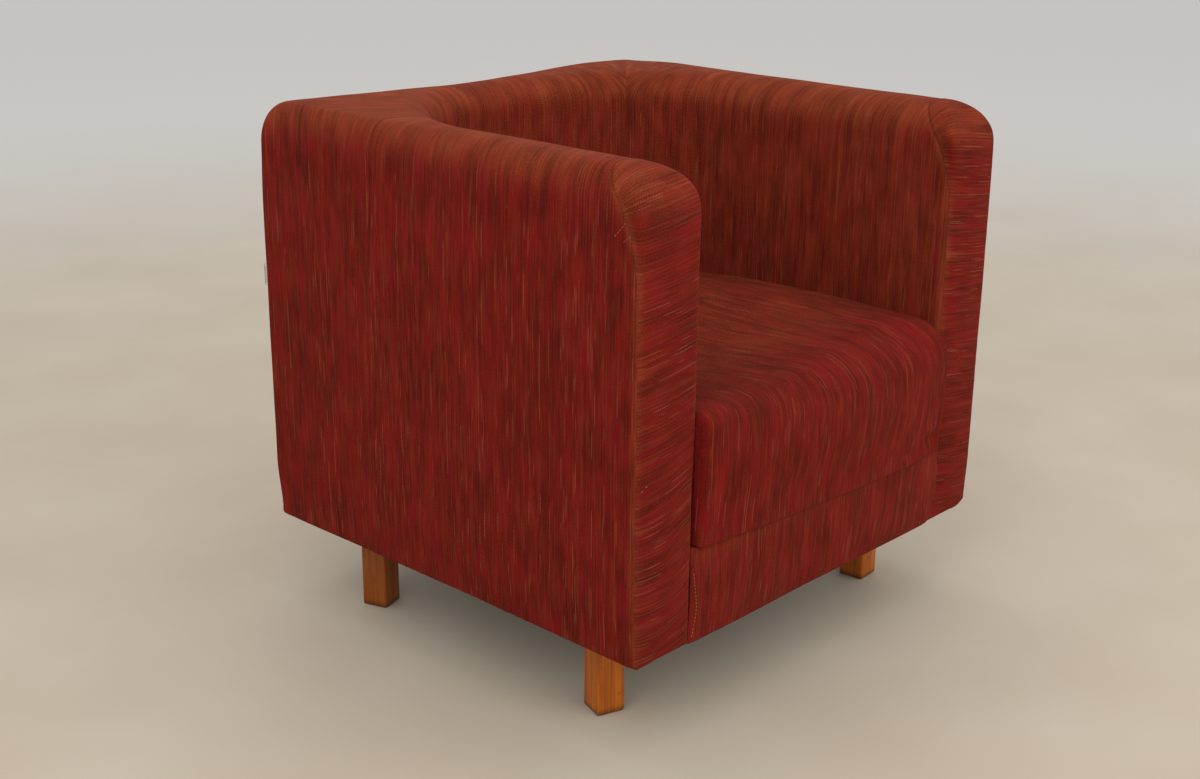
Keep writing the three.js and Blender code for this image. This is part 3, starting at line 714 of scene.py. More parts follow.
def swell(points):
    """Stuffing pushes the cover out a little: sides, back, top and inside, but not the hem."""
    x, y, z = np.moveaxis(points, -1, 0)
    up = (z - BOTTOM) / (CREST - BOTTOM)
    side = SIDE_SWELL * smooth(up / 0.14) * (1 - 0.8 * smooth((up - 0.74) / 0.26))
    wide = smooth((np.abs(x) - HALF_WIDTH + 0.05) / 0.045)
    rear = smooth((y - REAR + 0.05) / 0.045)
    high = smooth((z - CREST + 0.05) / 0.04)
    reach = np.hypot(x, np.maximum(y - TUB_CENTRE, 0))
    within = smooth((INSIDE + 0.045 - reach) / 0.04) * smooth((z - 0.3) / 0.1)
    inward = np.stack([x, np.maximum(y - TUB_CENTRE, 0), 0 * z], axis=-1) / reach[..., None]
    moved = -inward * (within * INNER_SWELL)[..., None]
    moved[..., 0] += np.sign(x) * side * wide
    moved[..., 1] += side * rear
    moved[..., 2] += TOP_SWELL * high
    return moved


def hem_corner(points):
    """How far the hem is rubbed up at the sitter's left front corner."""
    x, y, z = np.moveaxis(points, -1, 0)
    away = np.hypot(x - HALF_WIDTH, y - FRONT)
    return CORNER_RUB * bell(away / CORNER_RUB_REACH) * smooth((BOTTOM + 0.03 - z) / 0.03)


def seam_valley(away):
    """0 in a seam and 1 away from it."""
    return 1 - bell(away / SEAM_GROOVE)


def seam_rub(away):
    """Wear of a seam's edges."""
    return SEAM_WEAR * bell(away / SEAM_RUB)


def hem_ripple(points, lift):
    """The hem rises and falls a little along its run, where the lift is not yet 1."""
    return HEM_RIPPLE * wander(points * np.array([1, 1, 0]), 7.0, 1.3) * (1 - lift)


def hem_soil(z, reach=0.16):
    """Dirt along the hem, below a height."""
    return 0.6 * smooth((reach - z) / 0.05)


def upholstered(points, normals, relief, valley):
    """The skin pushed out by its stuffing and relief, drawn in at a seam, with a soft hem."""
    lift = smooth((points[..., 2] - BOTTOM) / HEM_LIFT)
    proud = relief * valley - SEAM_DEPTH * (1 - valley)
    points = points + swell(points) + normals * (proud * lift)[..., None]
    points[..., 2] += hem_ripple(points, lift)
    points[..., 2] += hem_corner(points)
    return points


def path_length(points):
    steps = np.linalg.norm(np.diff(points, axis=0), axis=-1)
    return np.concatenate([[0], np.cumsum(steps)])


def tub_columns():
    """Sections of the tub cover, from the left arm's front round the back; also the back's ends."""
    spots = 1 - (1 - shares(ARM_COLUMNS)) ** 1.35

    def arm(side, order):
        made = []
        for share in order:
            y_at = lambda z, t=share: seam_y(z) + 0.0002 + (TUB_CENTRE - seam_y(z)) * t
            made.append(arm_column(side, y_at))
        return made

    start = math.atan2(REAR - CORNER - TUB_CENTRE, HALF_WIDTH)
    end = math.atan2(REAR - TUB_CENTRE, HALF_WIDTH - CORNER)
    side_part = np.linspace(0, start, SIDE_COLUMNS, endpoint=False)
    quarter = np.concatenate([side_part, np.linspace(start, end, CORNER_COLUMNS, endpoint=False)])
    rear = np.linspace(end, math.pi - end, REAR_COLUMNS)
    angles = np.concatenate([quarter, rear, (math.pi - quarter)[::-1]])
    columns = arm(1, spots) + [back_column(a) for a in angles] + arm(-1, spots[::-1])
    return np.array(columns), len(spots), len(spots) + len(angles) - 1


def cloth_joins(first, last):
    """Columns at the back's two corners, where the cloth outside and inside part company."""
    corner = SIDE_COLUMNS + CORNER_COLUMNS // 2
    return first + corner, last - corner


def with_joins(grid, left, right):
    """The grid with each joining column there twice."""
    return np.concatenate([grid[: left + 1], grid[left : right + 1], grid[right:]])


def tub_cloth_place(points, first, last):
    """Cloth coordinates of the tub cover, along the wall and over it, with the joins.

    The wall is longer outside than inside, so inside the cloth is counted from each arm and
    from the middle of the back. Also returned: how far over the wall each row is.
    """
    outer = path_length(points[:, OUTSIDE_ROW, :2])
    inner = path_length(points[:, -1, :2])
    outer -= outer[first]
    inner -= inner[first]
    spare = outer[last] - inner[last]
    column = np.arange(len(points))
    left, right = cloth_joins(first, last)
    parts = [inner[: left + 1], inner[left : right + 1] + spare / 2, inner[right:] + spare]
    inner_u = np.concatenate(parts)[:, None]
    outer_u = with_joins(outer, left, right)[:, None]
    over = np.zeros(ROWS)
    low = UNDER + HEM + OUTSIDE
    over[low:] = smooth((np.arange(low, ROWS) - low) / (2 * ROUND + TOP))
    u = outer_u * (1 - over) + inner_u * over
    lean = smooth((first + 20 - column) / 20) - smooth((column - last + 20) / 20)
    u -= with_joins(lean, left, right)[:, None] * YARN_LEAN * over
    y = with_joins(points, left, right)[..., 1]
    on_left, on_right = [with_joins(c, left, right) for c in (column < first, column > last)]
    u[on_left] = y[on_left] - TUB_CENTRE - YARN_LEAN * over
    u[on_right] = outer[last] + TUB_CENTRE - y[on_right] + YARN_LEAN * over
    steps = np.diff(points, axis=1)
    steps[(column < first) | (column > last), :, 1] = 0
    v = np.cumsum(np.linalg.norm(steps, axis=-1), axis=1)
    v = np.concatenate([np.zeros((len(points), 1)), v], axis=1)
    return np.stack([u, with_joins(v, left, right)], axis=-1), over


def outward_normals(points, i, j, direction):
    """Unit normals of a grid of points, on the side that direction points to at [i, j]."""
    normal = grid_normals(points)
    return normal if np.dot(normal[i, j], direction) > 0 else -normal


def tub_cloth():
    points, first, last = tub_columns()
    cloth, over = tub_cloth_place(points, first, last)
    middle = len(points) // 2
    normals = outward_normals(points, middle, OUTSIDE_ROW, (0, 1, 0))
    y, z = points[..., 1], points[..., 2]
    offset = np.where(y < TUB_CENTRE, y - seam_y(z), 1.0)
    relief = 0.0013 * wander(points, 5.0, 4.1) + 0.0006 * wander(points, 17.0, 9.3)
    relief += 0.0007 * wander(points * np.array([1, 0.4, 1]), 70.0, 2.2) * np.exp(-offset / 0.02)
    points = upholstered(points, normals, relief, seam_valley(offset))
    far_corner = (HALF_WIDTH - 0.03, REAR - 0.03, CREST)
    points = points + pull(points, far_corner, (0.045, 0.045, 0.03), (0, 0, -1), 0.0026)
    joins = cloth_joins(first, last)
    points = with_joins(points, *joins)
    x, y, z = np.moveaxis(points, -1, 0)
    # Rubbed wear and painted sheen along the crest, less towards the arms' fronts; the inside is a little
    # faded all over and the seams' edges are rubbed pale.
    high = smooth((z - CREST + 0.05) / 0.05) * (1 - 0.6 * smooth((-0.18 - y) / 0.08))
    wear_and_sheen = high * (0.75 + 0.25 * over) + INSIDE_WEAR * over
    wear_and_sheen = np.clip(wear_and_sheen + seam_rub(with_joins(offset, *joins)), 0, 1)
    dirt_and_shade = hem_soil(z) * (1 - over)
    behind = (y > REAR - 0.004) & (np.abs(x) < back_high.x - 0.006)
    behind = behind & (z < back_high.z - 0.008) & (z > BOTTOM + 0.008)
    return cloth_piece("tub_cloth", points, cloth, (middle, 20, (0, 1, 0)), wear_and_sheen, dirt_and_shade, behind)


# Facings

FACING_EDGE = 9  # samples across each of a facing's rounded edges
FACING_ROW = 60  # a row half way up a facing


def facing_profile():
    """Places down the middle of a facing, from the hem up and back over the top to its seam."""
    under = [(FRONT + y, BOTTOM) for y in (0.020, 0.014, 0.009)]
    hem = [
        (FRONT + HEM_ROUND * (1 - math.sin(a)), BOTTOM + HEM_ROUND * (1 - math.cos(a)))
        for a in np.linspace(0, math.pi / 2, 5)[:-1]
    ]
    face = [(FRONT, z) for z in np.linspace(BOTTOM + HEM_ROUND, TURN_Z, 96)[:-1]]
    turn = [
        (TURN_Y - FRONT_TOP_ROUND * math.cos(a), TURN_Z + FRONT_TOP_ROUND * math.sin(a))
        for a in np.linspace(0, math.pi / 2, 40)
    ]
    top = [(y, CREST) for y in np.linspace(TURN_Y, float(seam_y(CREST)), 8)[1:]]
    return np.array(under + hem + face + turn + top)


def facing_row(y, z, angle):
    """Offsets across an arm and depths below the outline, from the outer to the inner seam."""
    ahead, down = math.cos(angle), -math.sin(angle)
    deepest = 0.05
    limit = solve([0.0], [deepest], lambda k: y + ahead * k < seam_y(z + down * k))[0]
    share = np.linspace(0, 1, FACING_EDGE)

    def quarter(radius):
        wide = float(shoulder(angle, radius))
        start = math.asin(np.clip(1 - limit / wide, 0, 1))
        straight = max(limit - wide, 0)
        arc = (math.pi / 2 - start) * wide
        gone = share * (straight + arc)
        a = start + (math.pi / 2 - start) * np.clip((gone - straight) / arc, 0, 1)
        return wide * (1 - np.cos(a)), wide * (1 - np.sin(a)) + np.maximum(straight - gone, 0)

    s_out, k_out = quarter(ARM_OUTER_ROUND)
    s_in, k_in = quarter(ARM_INNER_ROUND)
    flat = np.linspace(0, 1, 27)[1:-1]
    s_flat = s_out[-1] + (ARM - s_in[-1] - s_out[-1]) * flat
    s = np.concatenate([s_out, s_flat, (ARM - s_in)[::-1]])
    k = np.concatenate([k_out, np.zeros(len(flat)), k_in[::-1]])
    return s, k


def facing_grid(side):
    outline = facing_profile()
    run = path_length(outline)
    points, cloth = [], []
    for (y, z), length in zip(outline, run):
        angle = math.atan2(max(z - TURN_Z, 0), max(TURN_Y - y, 1e-9)) if z > TURN_Z else 0.0
        s, k = facing_row(y, z, angle)
        x = side * (HALF_WIDTH - s)
        row = np.stack([x, y + math.cos(angle) * k, z - math.sin(angle) * k], axis=-1)
        across = path_length(row)
        across -= across[len(across) // 2]
        points.append(row)
        cloth.append(np.stack([np.full(len(row), length), side * across], axis=-1))
    points, cloth = np.array(points), np.array(cloth)
    inner = np.clip((HALF_WIDTH - np.abs(points[..., 0])) / ARM, 0, 1)
    z = points[..., 2]
    if side < 0:
        tilt = 0.012 - 0.024 * smooth((0.36 - z) / 0.16)
        bow = 0.026 * smooth((0.44 - z) / 0.22)
    else:
        tilt, bow = 0.013 + 0 * z, 0 * z
    cloth[..., 0] -= tilt * inner + bow * inner * inner
    cloth[..., 0] += 20 + 5 * side
    return points, cloth, inner


def facing_cloth(side, name):
    points, cloth, inner = facing_grid(side)
    middle = points.shape[1] // 2
    normals = outward_normals(points, FACING_ROW, middle, (0, -1, 0))
    z = points[..., 2]
    offset = seam_y(z) - points[..., 1]
    edge = np.minimum(inner, 1 - inner) * ARM
    away = np.hypot(np.maximum(offset - SEAM_EDGE, 0), edge)
    relief = 0.0035 * np.sin(np.pi * inner) * smooth((z - BOTTOM) / 0.03)
    relief = relief * smooth((CREST - 0.02 - z) / 0.05)
    relief += 0.0011 * wander(points, 7.0, 2.7 + side) + 0.0006 * wander(points, 24.0, 5.0)
    relief += 0.0007 * wander(points * np.array([0.4, 1, 1]), 70.0, 6.1) * np.exp(-away / 0.014)
    points = upholstered(points, normals, relief, seam_valley(away))
    z = points[..., 2]
    # Rubbed wear and painted sheen over the top round, and the seam's edges rubbed pale.
    wear_and_sheen = np.clip(0.06 + 0.58 * smooth((z - CREST + 0.075) / 0.06) + seam_rub(away), 0, 1)
    target = (FACING_ROW, middle, (0, -1, 0))
    return cloth_piece(name, points, cloth, target, wear_and_sheen, hem_soil(z))


# Seat


def crease_height(x):
    """The crease climbs a little towards each end of the border."""
    end = smooth((np.abs(x) / SEAT_HALF - 0.7) / 0.3)
    return CREASE_MIDDLE - CREASE_SLOPE * x / SEAT_HALF + 0.004 * end * (x > 0)


def seat_profile():
    """Rows along the seat's side outline, as (kind, share): under, lip, front, round and top."""
    rows = [("under", t) for t in shares(4)]
    rows += [("lip", t) for t in shares(8)]
    rows += [("front", t) for t in shares(34)]
    rows += [("round", t) for t in shares(26)]
    rows += [("top", t) for t in 1 - (1 - np.linspace(0, 1, 100)) ** 1.2]
    return rows


def seat_edge_steps():
    """Steps in from the seat's side edge, and drops below it."""
    drops = np.linspace(0.075, 0, 10, endpoint=False)
    rim = SEAT_CORNER * (1 - np.cos(np.linspace(0, math.pi / 2, 9, endpoint=False)))
    return [(0.0, d) for d in drops] + [(r, 0.0) for r in rim]


def seat_half_width(y):
    return math.sqrt(max(SEAT_HALF**2 - max(y - TUB_CENTRE, 0) ** 2, 0))


def seat_point(kind, t, x):
    """Place, outward direction and cloth length of the seat's skin at a share of its outline."""
    share = x / SEAT_HALF
    front_round = SEAT_FRONT_ROUND + SEAT_FRONT_OPENING * float(smooth(share * 0.55 + 0.45))
    front = SEAT_FRONT + SEAT_BOW * share * share
    low = float(crease_height(x)) + 0.001
    lip_y = front + SEAT_LEAN
    lip_top = low + SEAT_LIP
    round_low = SEAT_TOP - front_round
    quarter = math.pi / 2
    lip_run, front_run, round_run = SEAT_LIP * quarter, round_low - lip_top, front_round * quarter
    if kind == "under":
        inward = SEAT_UNDER * (1 - t)
        return (lip_y + SEAT_LIP_DEPTH + inward, low), (0, -1), low - inward
    if kind == "lip":
        a = t * quarter
        place = (lip_y + SEAT_LIP_DEPTH * (1 - math.sin(a)), low + SEAT_LIP * (1 - math.cos(a)))
        return place, (-math.sin(a), -math.cos(a)), t * lip_run + low
    if kind == "front":
        y = front + SEAT_LEAN * (1 - float(smooth(t / 0.75)))
        return (y, lip_top + front_run * t), (-1, 0), lip_run + t * front_run + low
    if kind == "round":
        a = t * quarter
        place = (front + front_round * (1 - math.cos(a)), round_low + front_round * math.sin(a))
        return place, (-math.cos(a), math.sin(a)), lip_run + front_run + t * round_run + low
    start = front + front_round
    end = TUB_CENTRE + SEAT_HALF - 0.0008
    y = start + (end - start) * t
    return (y, SEAT_TOP), (0, 1), lip_run + front_run + round_run + (y - start) + low


def seat_sag(x, y):
    """How far the worn seat lies below its crown at a place."""
    fall = SEAT_FALL * smooth((y + 0.02) / 0.22)
    across = bell((x - HOLLOW_PLACE[0]) / HOLLOW_REACH[0])
    along = bell((y - HOLLOW_PLACE[1]) / HOLLOW_REACH[1])
    hollow = SEAT_HOLLOW * across * along
    arms = SEAT_LIFT * float(smooth((x - 0.14) / 0.1)) * bell((y + 0.12) / 0.12)
    return float(fall) + hollow - arms + SEAT_START


def seat_grid():
    rows, cloth = [], []
    half = seat_edge_steps()
    middle = np.linspace(-1, 1, 71)
    for kind, t in seat_profile():
        (y0, _), _, _ = seat_point(kind, t, 0.0)
        width = seat_half_width(y0) if kind == "top" else SEAT_HALF
        corner = min(SEAT_CORNER, 0.45 * width)
        left = [(-(width - r * corner / SEAT_CORNER), d) for r, d in half]
        flat = [(m * (width - corner), 0.0) for m in middle]
        samples = left + flat + [(-x, d) for x, d in left[::-1]]
        points, places = [], []
        for x, drop in samples:
            (y, z), (ny, nz), v = seat_point(kind, t, x)
            gap = width - abs(x)
            if kind == "top" and y > TUB_CENTRE:
                gap = min(gap, SEAT_HALF - math.hypot(x, y - TUB_CENTRE))
            corner_depth = float(rounded(max(gap, 0), SEAT_CORNER))
            if kind in ("top", "round"):
                z -= seat_sag(x, y) * (1.0 if kind == "top" else t)
            if kind in ("under", "lip"):
                rise = nz * corner_depth * SEAT_LIP_RISE
                points.append((x, y - ny * corner_depth + drop, z - rise))
            else:
                depth = corner_depth + drop
                points.append((x, y - ny * depth, z - nz * depth))
            places.append((x + math.copysign(drop, x), v))
        rows.append(points)
        cloth.append(places)
    return np.array(rows), np.array(cloth)


def seat_cloth():
    points, cloth = seat_grid()
    points = plump_seat(points)
    x, y, z = np.moveaxis(points, -1, 0)
    top_row, middle = len(points) - 40, points.shape[1] // 2
    normals = outward_normals(points, top_row, middle, (0, 0, 1))
    ripple = 0.0010 * wander(points, 9.0, 6.2) + 0.0005 * wander(points, 26.0, 1.9)
    calm = smooth((z - 0.25) / 0.03) * smooth((SEAT_HALF - np.abs(x)) / 0.02)
    points = points + normals * (ripple * calm)[..., None]
    points = points + pulled_corner(points)
    pinch = smooth((z - 0.235) / 0.02) * smooth((0.36 - z) / 0.04) * smooth((-0.2 - y) / 0.06)
    points[..., 0] += 0.0015 * pinch * smooth((-0.2 - x) / 0.04)
    wear_and_sheen = 0.45 * smooth((z - 0.375) / 0.02) * smooth((points[..., 1] + 0.27) / 0.08)
    # Painted shade: darker along the seat's front round, from the middle to the sitter's right, and in a
    # patch on the seat top by its hollow at the sitter's right.
    painted_round_shade = bell((z - 0.392) / 0.022) * smooth((0.14 - x) / 0.14) * smooth((-0.19 - y) / 0.06)
    painted_hollow_shade = bell((x + 0.17) / 0.12) * bell((y + 0.16) / 0.12)
    dirt_and_shade = np.clip(0.6 * painted_round_shade + 1.1 * painted_hollow_shade * smooth((z - 0.37) / 0.02), 0, 1.2)
    target = (top_row, middle, (0, 0, 1))
    return cloth_piece("seat_cloth", points, cloth + np.array([2.0, 0.0]), target, wear_and_sheen, dirt_and_shade)


def closed_copy(points):
    """The seat's skin as a closed body of even faces, for the simulation."""
    mesh = grid_mesh("plumping", points)
    tidy_mesh(mesh)
    work = bmesh.new()
    work.from_mesh(mesh)
    bmesh.ops.holes_fill(work, edges=[e for e in work.edges if e.is_boundary])
    bmesh.ops.triangulate(work, faces=[f for f in work.faces if len(f.verts) > 4])
    bmesh.ops.recalc_face_normals(work, faces=work.faces)
    work.to_mesh(mesh)
    work.free()
    body = placed("plumping", mesh)
    remesh = body.modifiers.new("even", "REMESH")
    remesh.mode = "VOXEL"
    remesh.voxel_size = SEAT_VOXEL
    return apply_modifiers(body)


def hold_seat(body):
    """Points that the arms, the back and the rails keep in place."""
    held = body.vertex_groups.new(name="held")
    for vertex in body.data.vertices:
        x, y, z = vertex.co
        inward = SEAT_HALF - math.hypot(x, max(y - TUB_CENTRE, 0))
        low = 1 - float(smooth((z - CREASE_MIDDLE - 0.02) / 0.04))
        side = 1 - float(smooth((inward - 0.004) / 0.03))
        held.add([vertex.index], max(low, side), "REPLACE")


def plump_seat(points):
    """The seat's skin after its filling has pressed it out, by a short cloth simulation."""
    body = closed_copy(points)
    hold_seat(body)
    start = np.array([v.co for v in body.data.vertices])
    cloth = body.modifiers.new("cloth", "CLOTH").settings
    cloth.quality = 6
    cloth.mass = 0.3
    cloth.use_pressure = True
    cloth.uniform_pressure_force = SEAT_PRESSURE
    cloth.vertex_group_mass = "held"
    cloth.effector_weights.gravity = 0
    scene = bpy.context.scene
    for step in range(1, SEAT_FRAMES + 1):
        scene.frame_set(step)
    end = body.evaluated_get(bpy.context.evaluated_depsgraph_get())
    moved = np.array([v.co for v in end.data.vertices]) - start
    bpy.data.objects.remove(body)
    scene.frame_set(1)
    length = np.linalg.norm(moved, axis=-1, keepdims=True)
    moved *= np.minimum(1, SEAT_CAP / np.maximum(length, 1e-9))
    tree = KDTree(len(start))
    for i, place in enumerate(start):
        tree.insert(place, i)
    tree.balance()
    flat = points.reshape(-1, 3)
    shift = np.zeros_like(flat)
    for i, place in enumerate(flat):
        near = tree.find_n(place, 6)
        weights = np.array([1 / (distance + 0.001) for _, _, distance in near])
        shift[i] = weights @ moved[[j for _, j, _ in near]] / weights.sum()
    return points + shift.reshape(points.shape)


def pull(points, place, reach, direction, amount):
    """A soft push of nearby points along a direction."""
    offset = (points - np.array(place)) / np.array(reach)
    share = np.exp(-np.sum(offset * offset, axis=-1))
    return share[..., None] * np.array(direction, float) * amount


def pulled_corner(points):
    """The tug at the sitter's left end of the crease: a short fold that climbs to the facing."""
    moved = pull(points, (0.218, -0.340, 0.257), (0.022, 0.03, 0.010), (0, 1, 0), 0.006)
    moved += pull(points, (0.170, -0.340, 0.250), (0.030, 0.03, 0.008), (0, 1, 0), 0.003)
    moved += pull(points, (0.238, -0.340, 0.285), (0.005, 0.03, 0.020), (0, 1, 0), 0.0035)
    return moved + pull(points, (0.216, -0.340, 0.274), (0.014, 0.03, 0.007), (0, -1, 0), 0.003)


# Front border

BORDER_START = -INSIDE - 0.0038  # the sitter's right end
BORDER_STOP = INSIDE + 0.018
BORDER_TURN = 0.004  # round of its ends
BORDER_LIP = 0.004
BORDER_LIP_DEPTH = 0.002
BORDER_PROUD = 0.006  # how far its middle stands out below the crease
BORDER_END = 0.035  # how far from its left end it draws back into the facing
BORDER_SINK = 0.0012
BORDER_FOOT = 0.001  # how far back it stands at the hem


def border_column(x):
    """The border's skin at a place along it, from inside the crease down and under."""
    front = border_low.y
    from_right, from_left = x - BORDER_START, BORDER_STOP - x
    gap = min(from_right, from_left)
    top = float(crease_height(x)) + 0.0005
    start, low = top - BORDER_LIP, BOTTOM + HEM_ROUND
    upper = front - BORDER_PROUD * float(smooth(gap / 0.12))
    foot = front + BORDER_FOOT
    outline = [(upper + BORDER_LIP_DEPTH + 0.002 * (5 - k), top) for k in range(5)]
    for a in np.linspace(0, math.pi / 2, 8):
        y = upper + BORDER_LIP_DEPTH * (1 - math.sin(a))
        outline.append((y, top - BORDER_LIP * (1 - math.cos(a))))
    for t in np.linspace(0, 1, 32)[1:]:
        belly = 0.002 * math.sin(math.pi * t)
        outline.append((upper - belly + (foot - upper) * t, start + (low - start) * t))
    for a in np.linspace(0, math.pi / 2, 6)[1:]:
        outline.append((foot + HEM_ROUND * (1 - math.cos(a)), low - HEM_ROUND * math.sin(a)))
    outline += [(front + HEM_ROUND + 0.006 * k, BOTTOM) for k in range(1, 6)]
    sink = float(rounded(gap, BORDER_TURN)) * 0.5
    sink += (FRONT - front + BORDER_SINK) * float(smooth(1 - from_left / BORDER_END))
    sink += 0.0015 * float(smooth(1 - from_right / 0.012))
    return [(x, y + sink, z) for y, z in outline]


def border_cloth():
    """The padded cloth over the front rail, from the crease down and under."""
    bend = BORDER_TURN * (1 - np.cos(np.linspace(0, math.pi / 2, 6, endpoint=False)))
    straight = np.linspace(BORDER_START + BORDER_TURN, BORDER_STOP - BORDER_TURN, 90)
    xs = np.concatenate([BORDER_START + bend, straight, (BORDER_STOP - bend)[::-1]])
    points = np.array([border_column(x) for x in xs])
    cloth = np.array([[(p[0, 0] + 0.7, -v) for v in path_length(p)] for p in points])
    lift = smooth((points[..., 2] - BOTTOM) / HEM_LIFT)
    points[..., 1] += 0.0009 * wander(points, 11.0, 8.8) * lift
    points = points + pull(points, (0.205, -0.33, 0.226), (0.03, 0.03, 0.010), (0, -1, 0), 0.003)
    points[..., 2] += hem_ripple(points, lift)
    z = points[..., 2]
    wear_and_sheen = 0.10 + 0.3 * bell((z - CREASE_MIDDLE) / 0.01)
    target = (len(xs) // 2, 25, (0, -1, 0))
    return cloth_piece("border_cloth", points, cloth, target, wear_and_sheen, hem_soil(z, 0.165))


# Outside back

TURN_IN = 0.002  # its cloth goes this far past its CAD piece
BACK_LEFT = back_high.x + TURN_IN
BACK_RIGHT = back_low.x - TURN_IN
BACK_TOP = back_high.z + TURN_IN
BACK_EDGE = 0.004  # width of its rounded edge


def back_cloth():
    """The outside back: one flat piece, its edges turned in and sewn down by hand."""
    x0, x1, z0, z1 = BACK_RIGHT, BACK_LEFT, BOTTOM, BACK_TOP
    ends = np.array([0, 0.0008, 0.0022])
    hem = z0 + np.array([0, 0.0012, 0.003])
    xs = np.linspace(x0 + BACK_EDGE, x1 - BACK_EDGE, 76)
    xs = np.concatenate([x0 + ends, xs, (x1 - ends)[::-1]])
    zs = np.linspace(z0 + HEM_ROUND, z1 - BACK_EDGE, 66)
    zs = np.concatenate([hem, zs, (z1 - ends)[::-1]])
    x, z = np.meshgrid(xs, zs, indexing="ij")
    gap = np.minimum(np.minimum(x - x0, x1 - x), z1 - z)
    y = REAR + 0.0034 - rounded(gap, BACK_EDGE) * 1.2 - rounded(z - z0, HEM_ROUND)
    points = np.stack([x, y, z], axis=-1)
    puff = 0.003 * smooth(gap / 0.10) + 0.0014 * wander(points, 5.0, 3.3) * smooth(gap / 0.03)
    points[..., 1] += puff
    cloth = np.stack([-x + 9.0, z], axis=-1)
    wear_and_sheen = 0.15 * smooth((z - 0.6) / 0.06)
    dirt_and_shade = smooth((0.17 - z) / 0.06) * 0.7
    target = (len(xs) // 2, len(zs) // 2, (0, 1, 0))
    return cloth_piece("outside_back_cloth", points, cloth, target, wear_and_sheen, dirt_and_shade)


# Dust cover

DUST_SAG = 0.006
DUST_CLOTH = 0.0008
DUST_STEPS = 60


def dust_cover_cloth():
    """The black cloth under the frame: held flat by staples at its edge, slack in the middle."""
    low, high = dust_low, dust_high
    sides = [np.linspace(a, b, DUST_STEPS) for a, b in ((low.x, high.x), (low.y, high.y))]
    x, y = np.meshgrid(*sides, indexing="ij")
    across, along = np.minimum(x - low.x, high.x - x), np.minimum(y - low.y, high.y - y)
    gap = np.minimum(across, along)
    corner = np.minimum(high.x - np.abs(x), along + 0.03)
    slack = smooth((gap - 0.018) / 0.20) * smooth((corner - 0.03) / 0.08)
    flat = np.stack([x, y, np.full_like(x, low.z + 0.0002)], axis=-1)
    ripple = 0.6 * wander(flat, 6.0, 4.4) + 0.3 * wander(flat, 15.0, 7.7)
    points = flat.copy()
    points[..., 2] -= slack * (DUST_SAG + 0.002 * ripple)
    target = (DUST_STEPS // 2, DUST_STEPS // 2, (0, 0, -1))
    cloth = np.stack([x, y], axis=-1)
    return cloth_piece("dust_cover_cloth", points, cloth, target, thick=DUST_CLOTH)


# Legs

LEG_SHIFT = 0.004  # the sitter's front right leg has been knocked this far forward
LEG_TURNS = {"front_right": -18.5, "front_left": 4, "rear_right": 18.5, "rear_left": -6}
ARRIS = 0.0032


def leg_piece(node, name):
    """The leg with soft, rubbed arrises, where the frame's leg stands."""
    low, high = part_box(node)
    centre = (low + high) / 2
    reach = (high.x - low.x) / 2
    turn = math.radians(LEG_TURNS[node.removeprefix("leg_")])
    half = reach / (math.cos(turn) + abs(math.sin(turn))) + 0.0006
    mesh = bpy.data.meshes.new(name)
    work = bmesh.new()
    bmesh.ops.create_cube(work, size=1)
    bmesh.ops.scale(work, vec=(2 * half, 2 * half, high.z), verts=work.verts)
    bmesh.ops.translate(work, vec=(0, 0, high.z / 2), verts=work.verts)
    edges = list(work.edges)
    bmesh.ops.bevel(work, geom=edges, offset=ARRIS, segments=4, profile=0.5, affect="EDGES")
    bmesh.ops.rotate(work, matrix=Matrix.Rotation(turn, 3, "Z"), verts=work.verts)
    shift = LEG_SHIFT if node == "leg_front_right" else 0
    bmesh.ops.translate(work, vec=(centre.x, centre.y - shift, 0), verts=work.verts)
    work.to_mesh(mesh)
    work.free()
    mesh.shade_smooth()
    return placed(name, mesh)


# Stitches, staples and loose fibres, by Geometry Nodes

SWAY = 0.12  # how far, in radians, each thread may turn from its row
STAPLE_INSET = 0.010


class Tree:
    """A Geometry Nodes tree with named inputs, built node by node."""

    def __init__(self, name, **inputs):
        self.group = bpy.data.node_groups.new(name, "GeometryNodeTree")
        face = self.group.interface
        face.new_socket("Geometry", in_out="INPUT", socket_type="NodeSocketGeometry")
        for label, value in inputs.items():
            kind = "NodeSocketInt" if isinstance(value, int) else "NodeSocketFloat"
            socket = face.new_socket(label, in_out="INPUT", socket_type=kind)
            socket.default_value = value
        face.new_socket("Geometry", in_out="OUTPUT", socket_type="NodeSocketGeometry")
        self.given = self.group.nodes.new("NodeGroupInput").outputs

    def node(self, kind, values=None, **settings):
        """The first output of a new node with its settings and the values of its inputs."""
        made = self.group.nodes.new(kind)
        for key, value in settings.items():
            setattr(made, key, value)
        for key, value in (values or {}).items():
            if isinstance(value, bpy.types.NodeSocket):
                self.group.links.new(value, made.inputs[key])
            else:
                made.inputs[key].default_value = value
        return made.outputs[0] if made.outputs else None

    def strand(self, length, rise, thickness, sides):
        """A short thread along X that bows up along Z."""
        start, end = [self.node("ShaderNodeCombineXYZ", {"X": x}) for x in (0.0, length)]
        half = self.node("ShaderNodeMath", {0: length, 1: 0.5}, operation="MULTIPLY")
        top = self.node("ShaderNodeCombineXYZ", {"X": half, "Z": rise})
        values = {"Resolution": 3, "Start": start, "Middle": top, "End": end}
        line = self.node("GeometryNodeCurveQuadraticBezier", values)
        ring = self.node("GeometryNodeCurvePrimitiveCircle", {"Resolution": sides, "Radius": thickness})
        values = {"Curve": line, "Profile Curve": ring, "Fill Caps": True}
        return self.node("GeometryNodeCurveToMesh", values)

    def end(self, instances, material):
        real = self.node("GeometryNodeRealizeInstances", {"Geometry": instances})
        values = {"Geometry": real, "Material": MATERIALS[material]}
        coloured = self.node("GeometryNodeSetMaterial", values)
        self.node("NodeGroupOutput", {"Geometry": coloured})
        return self.group


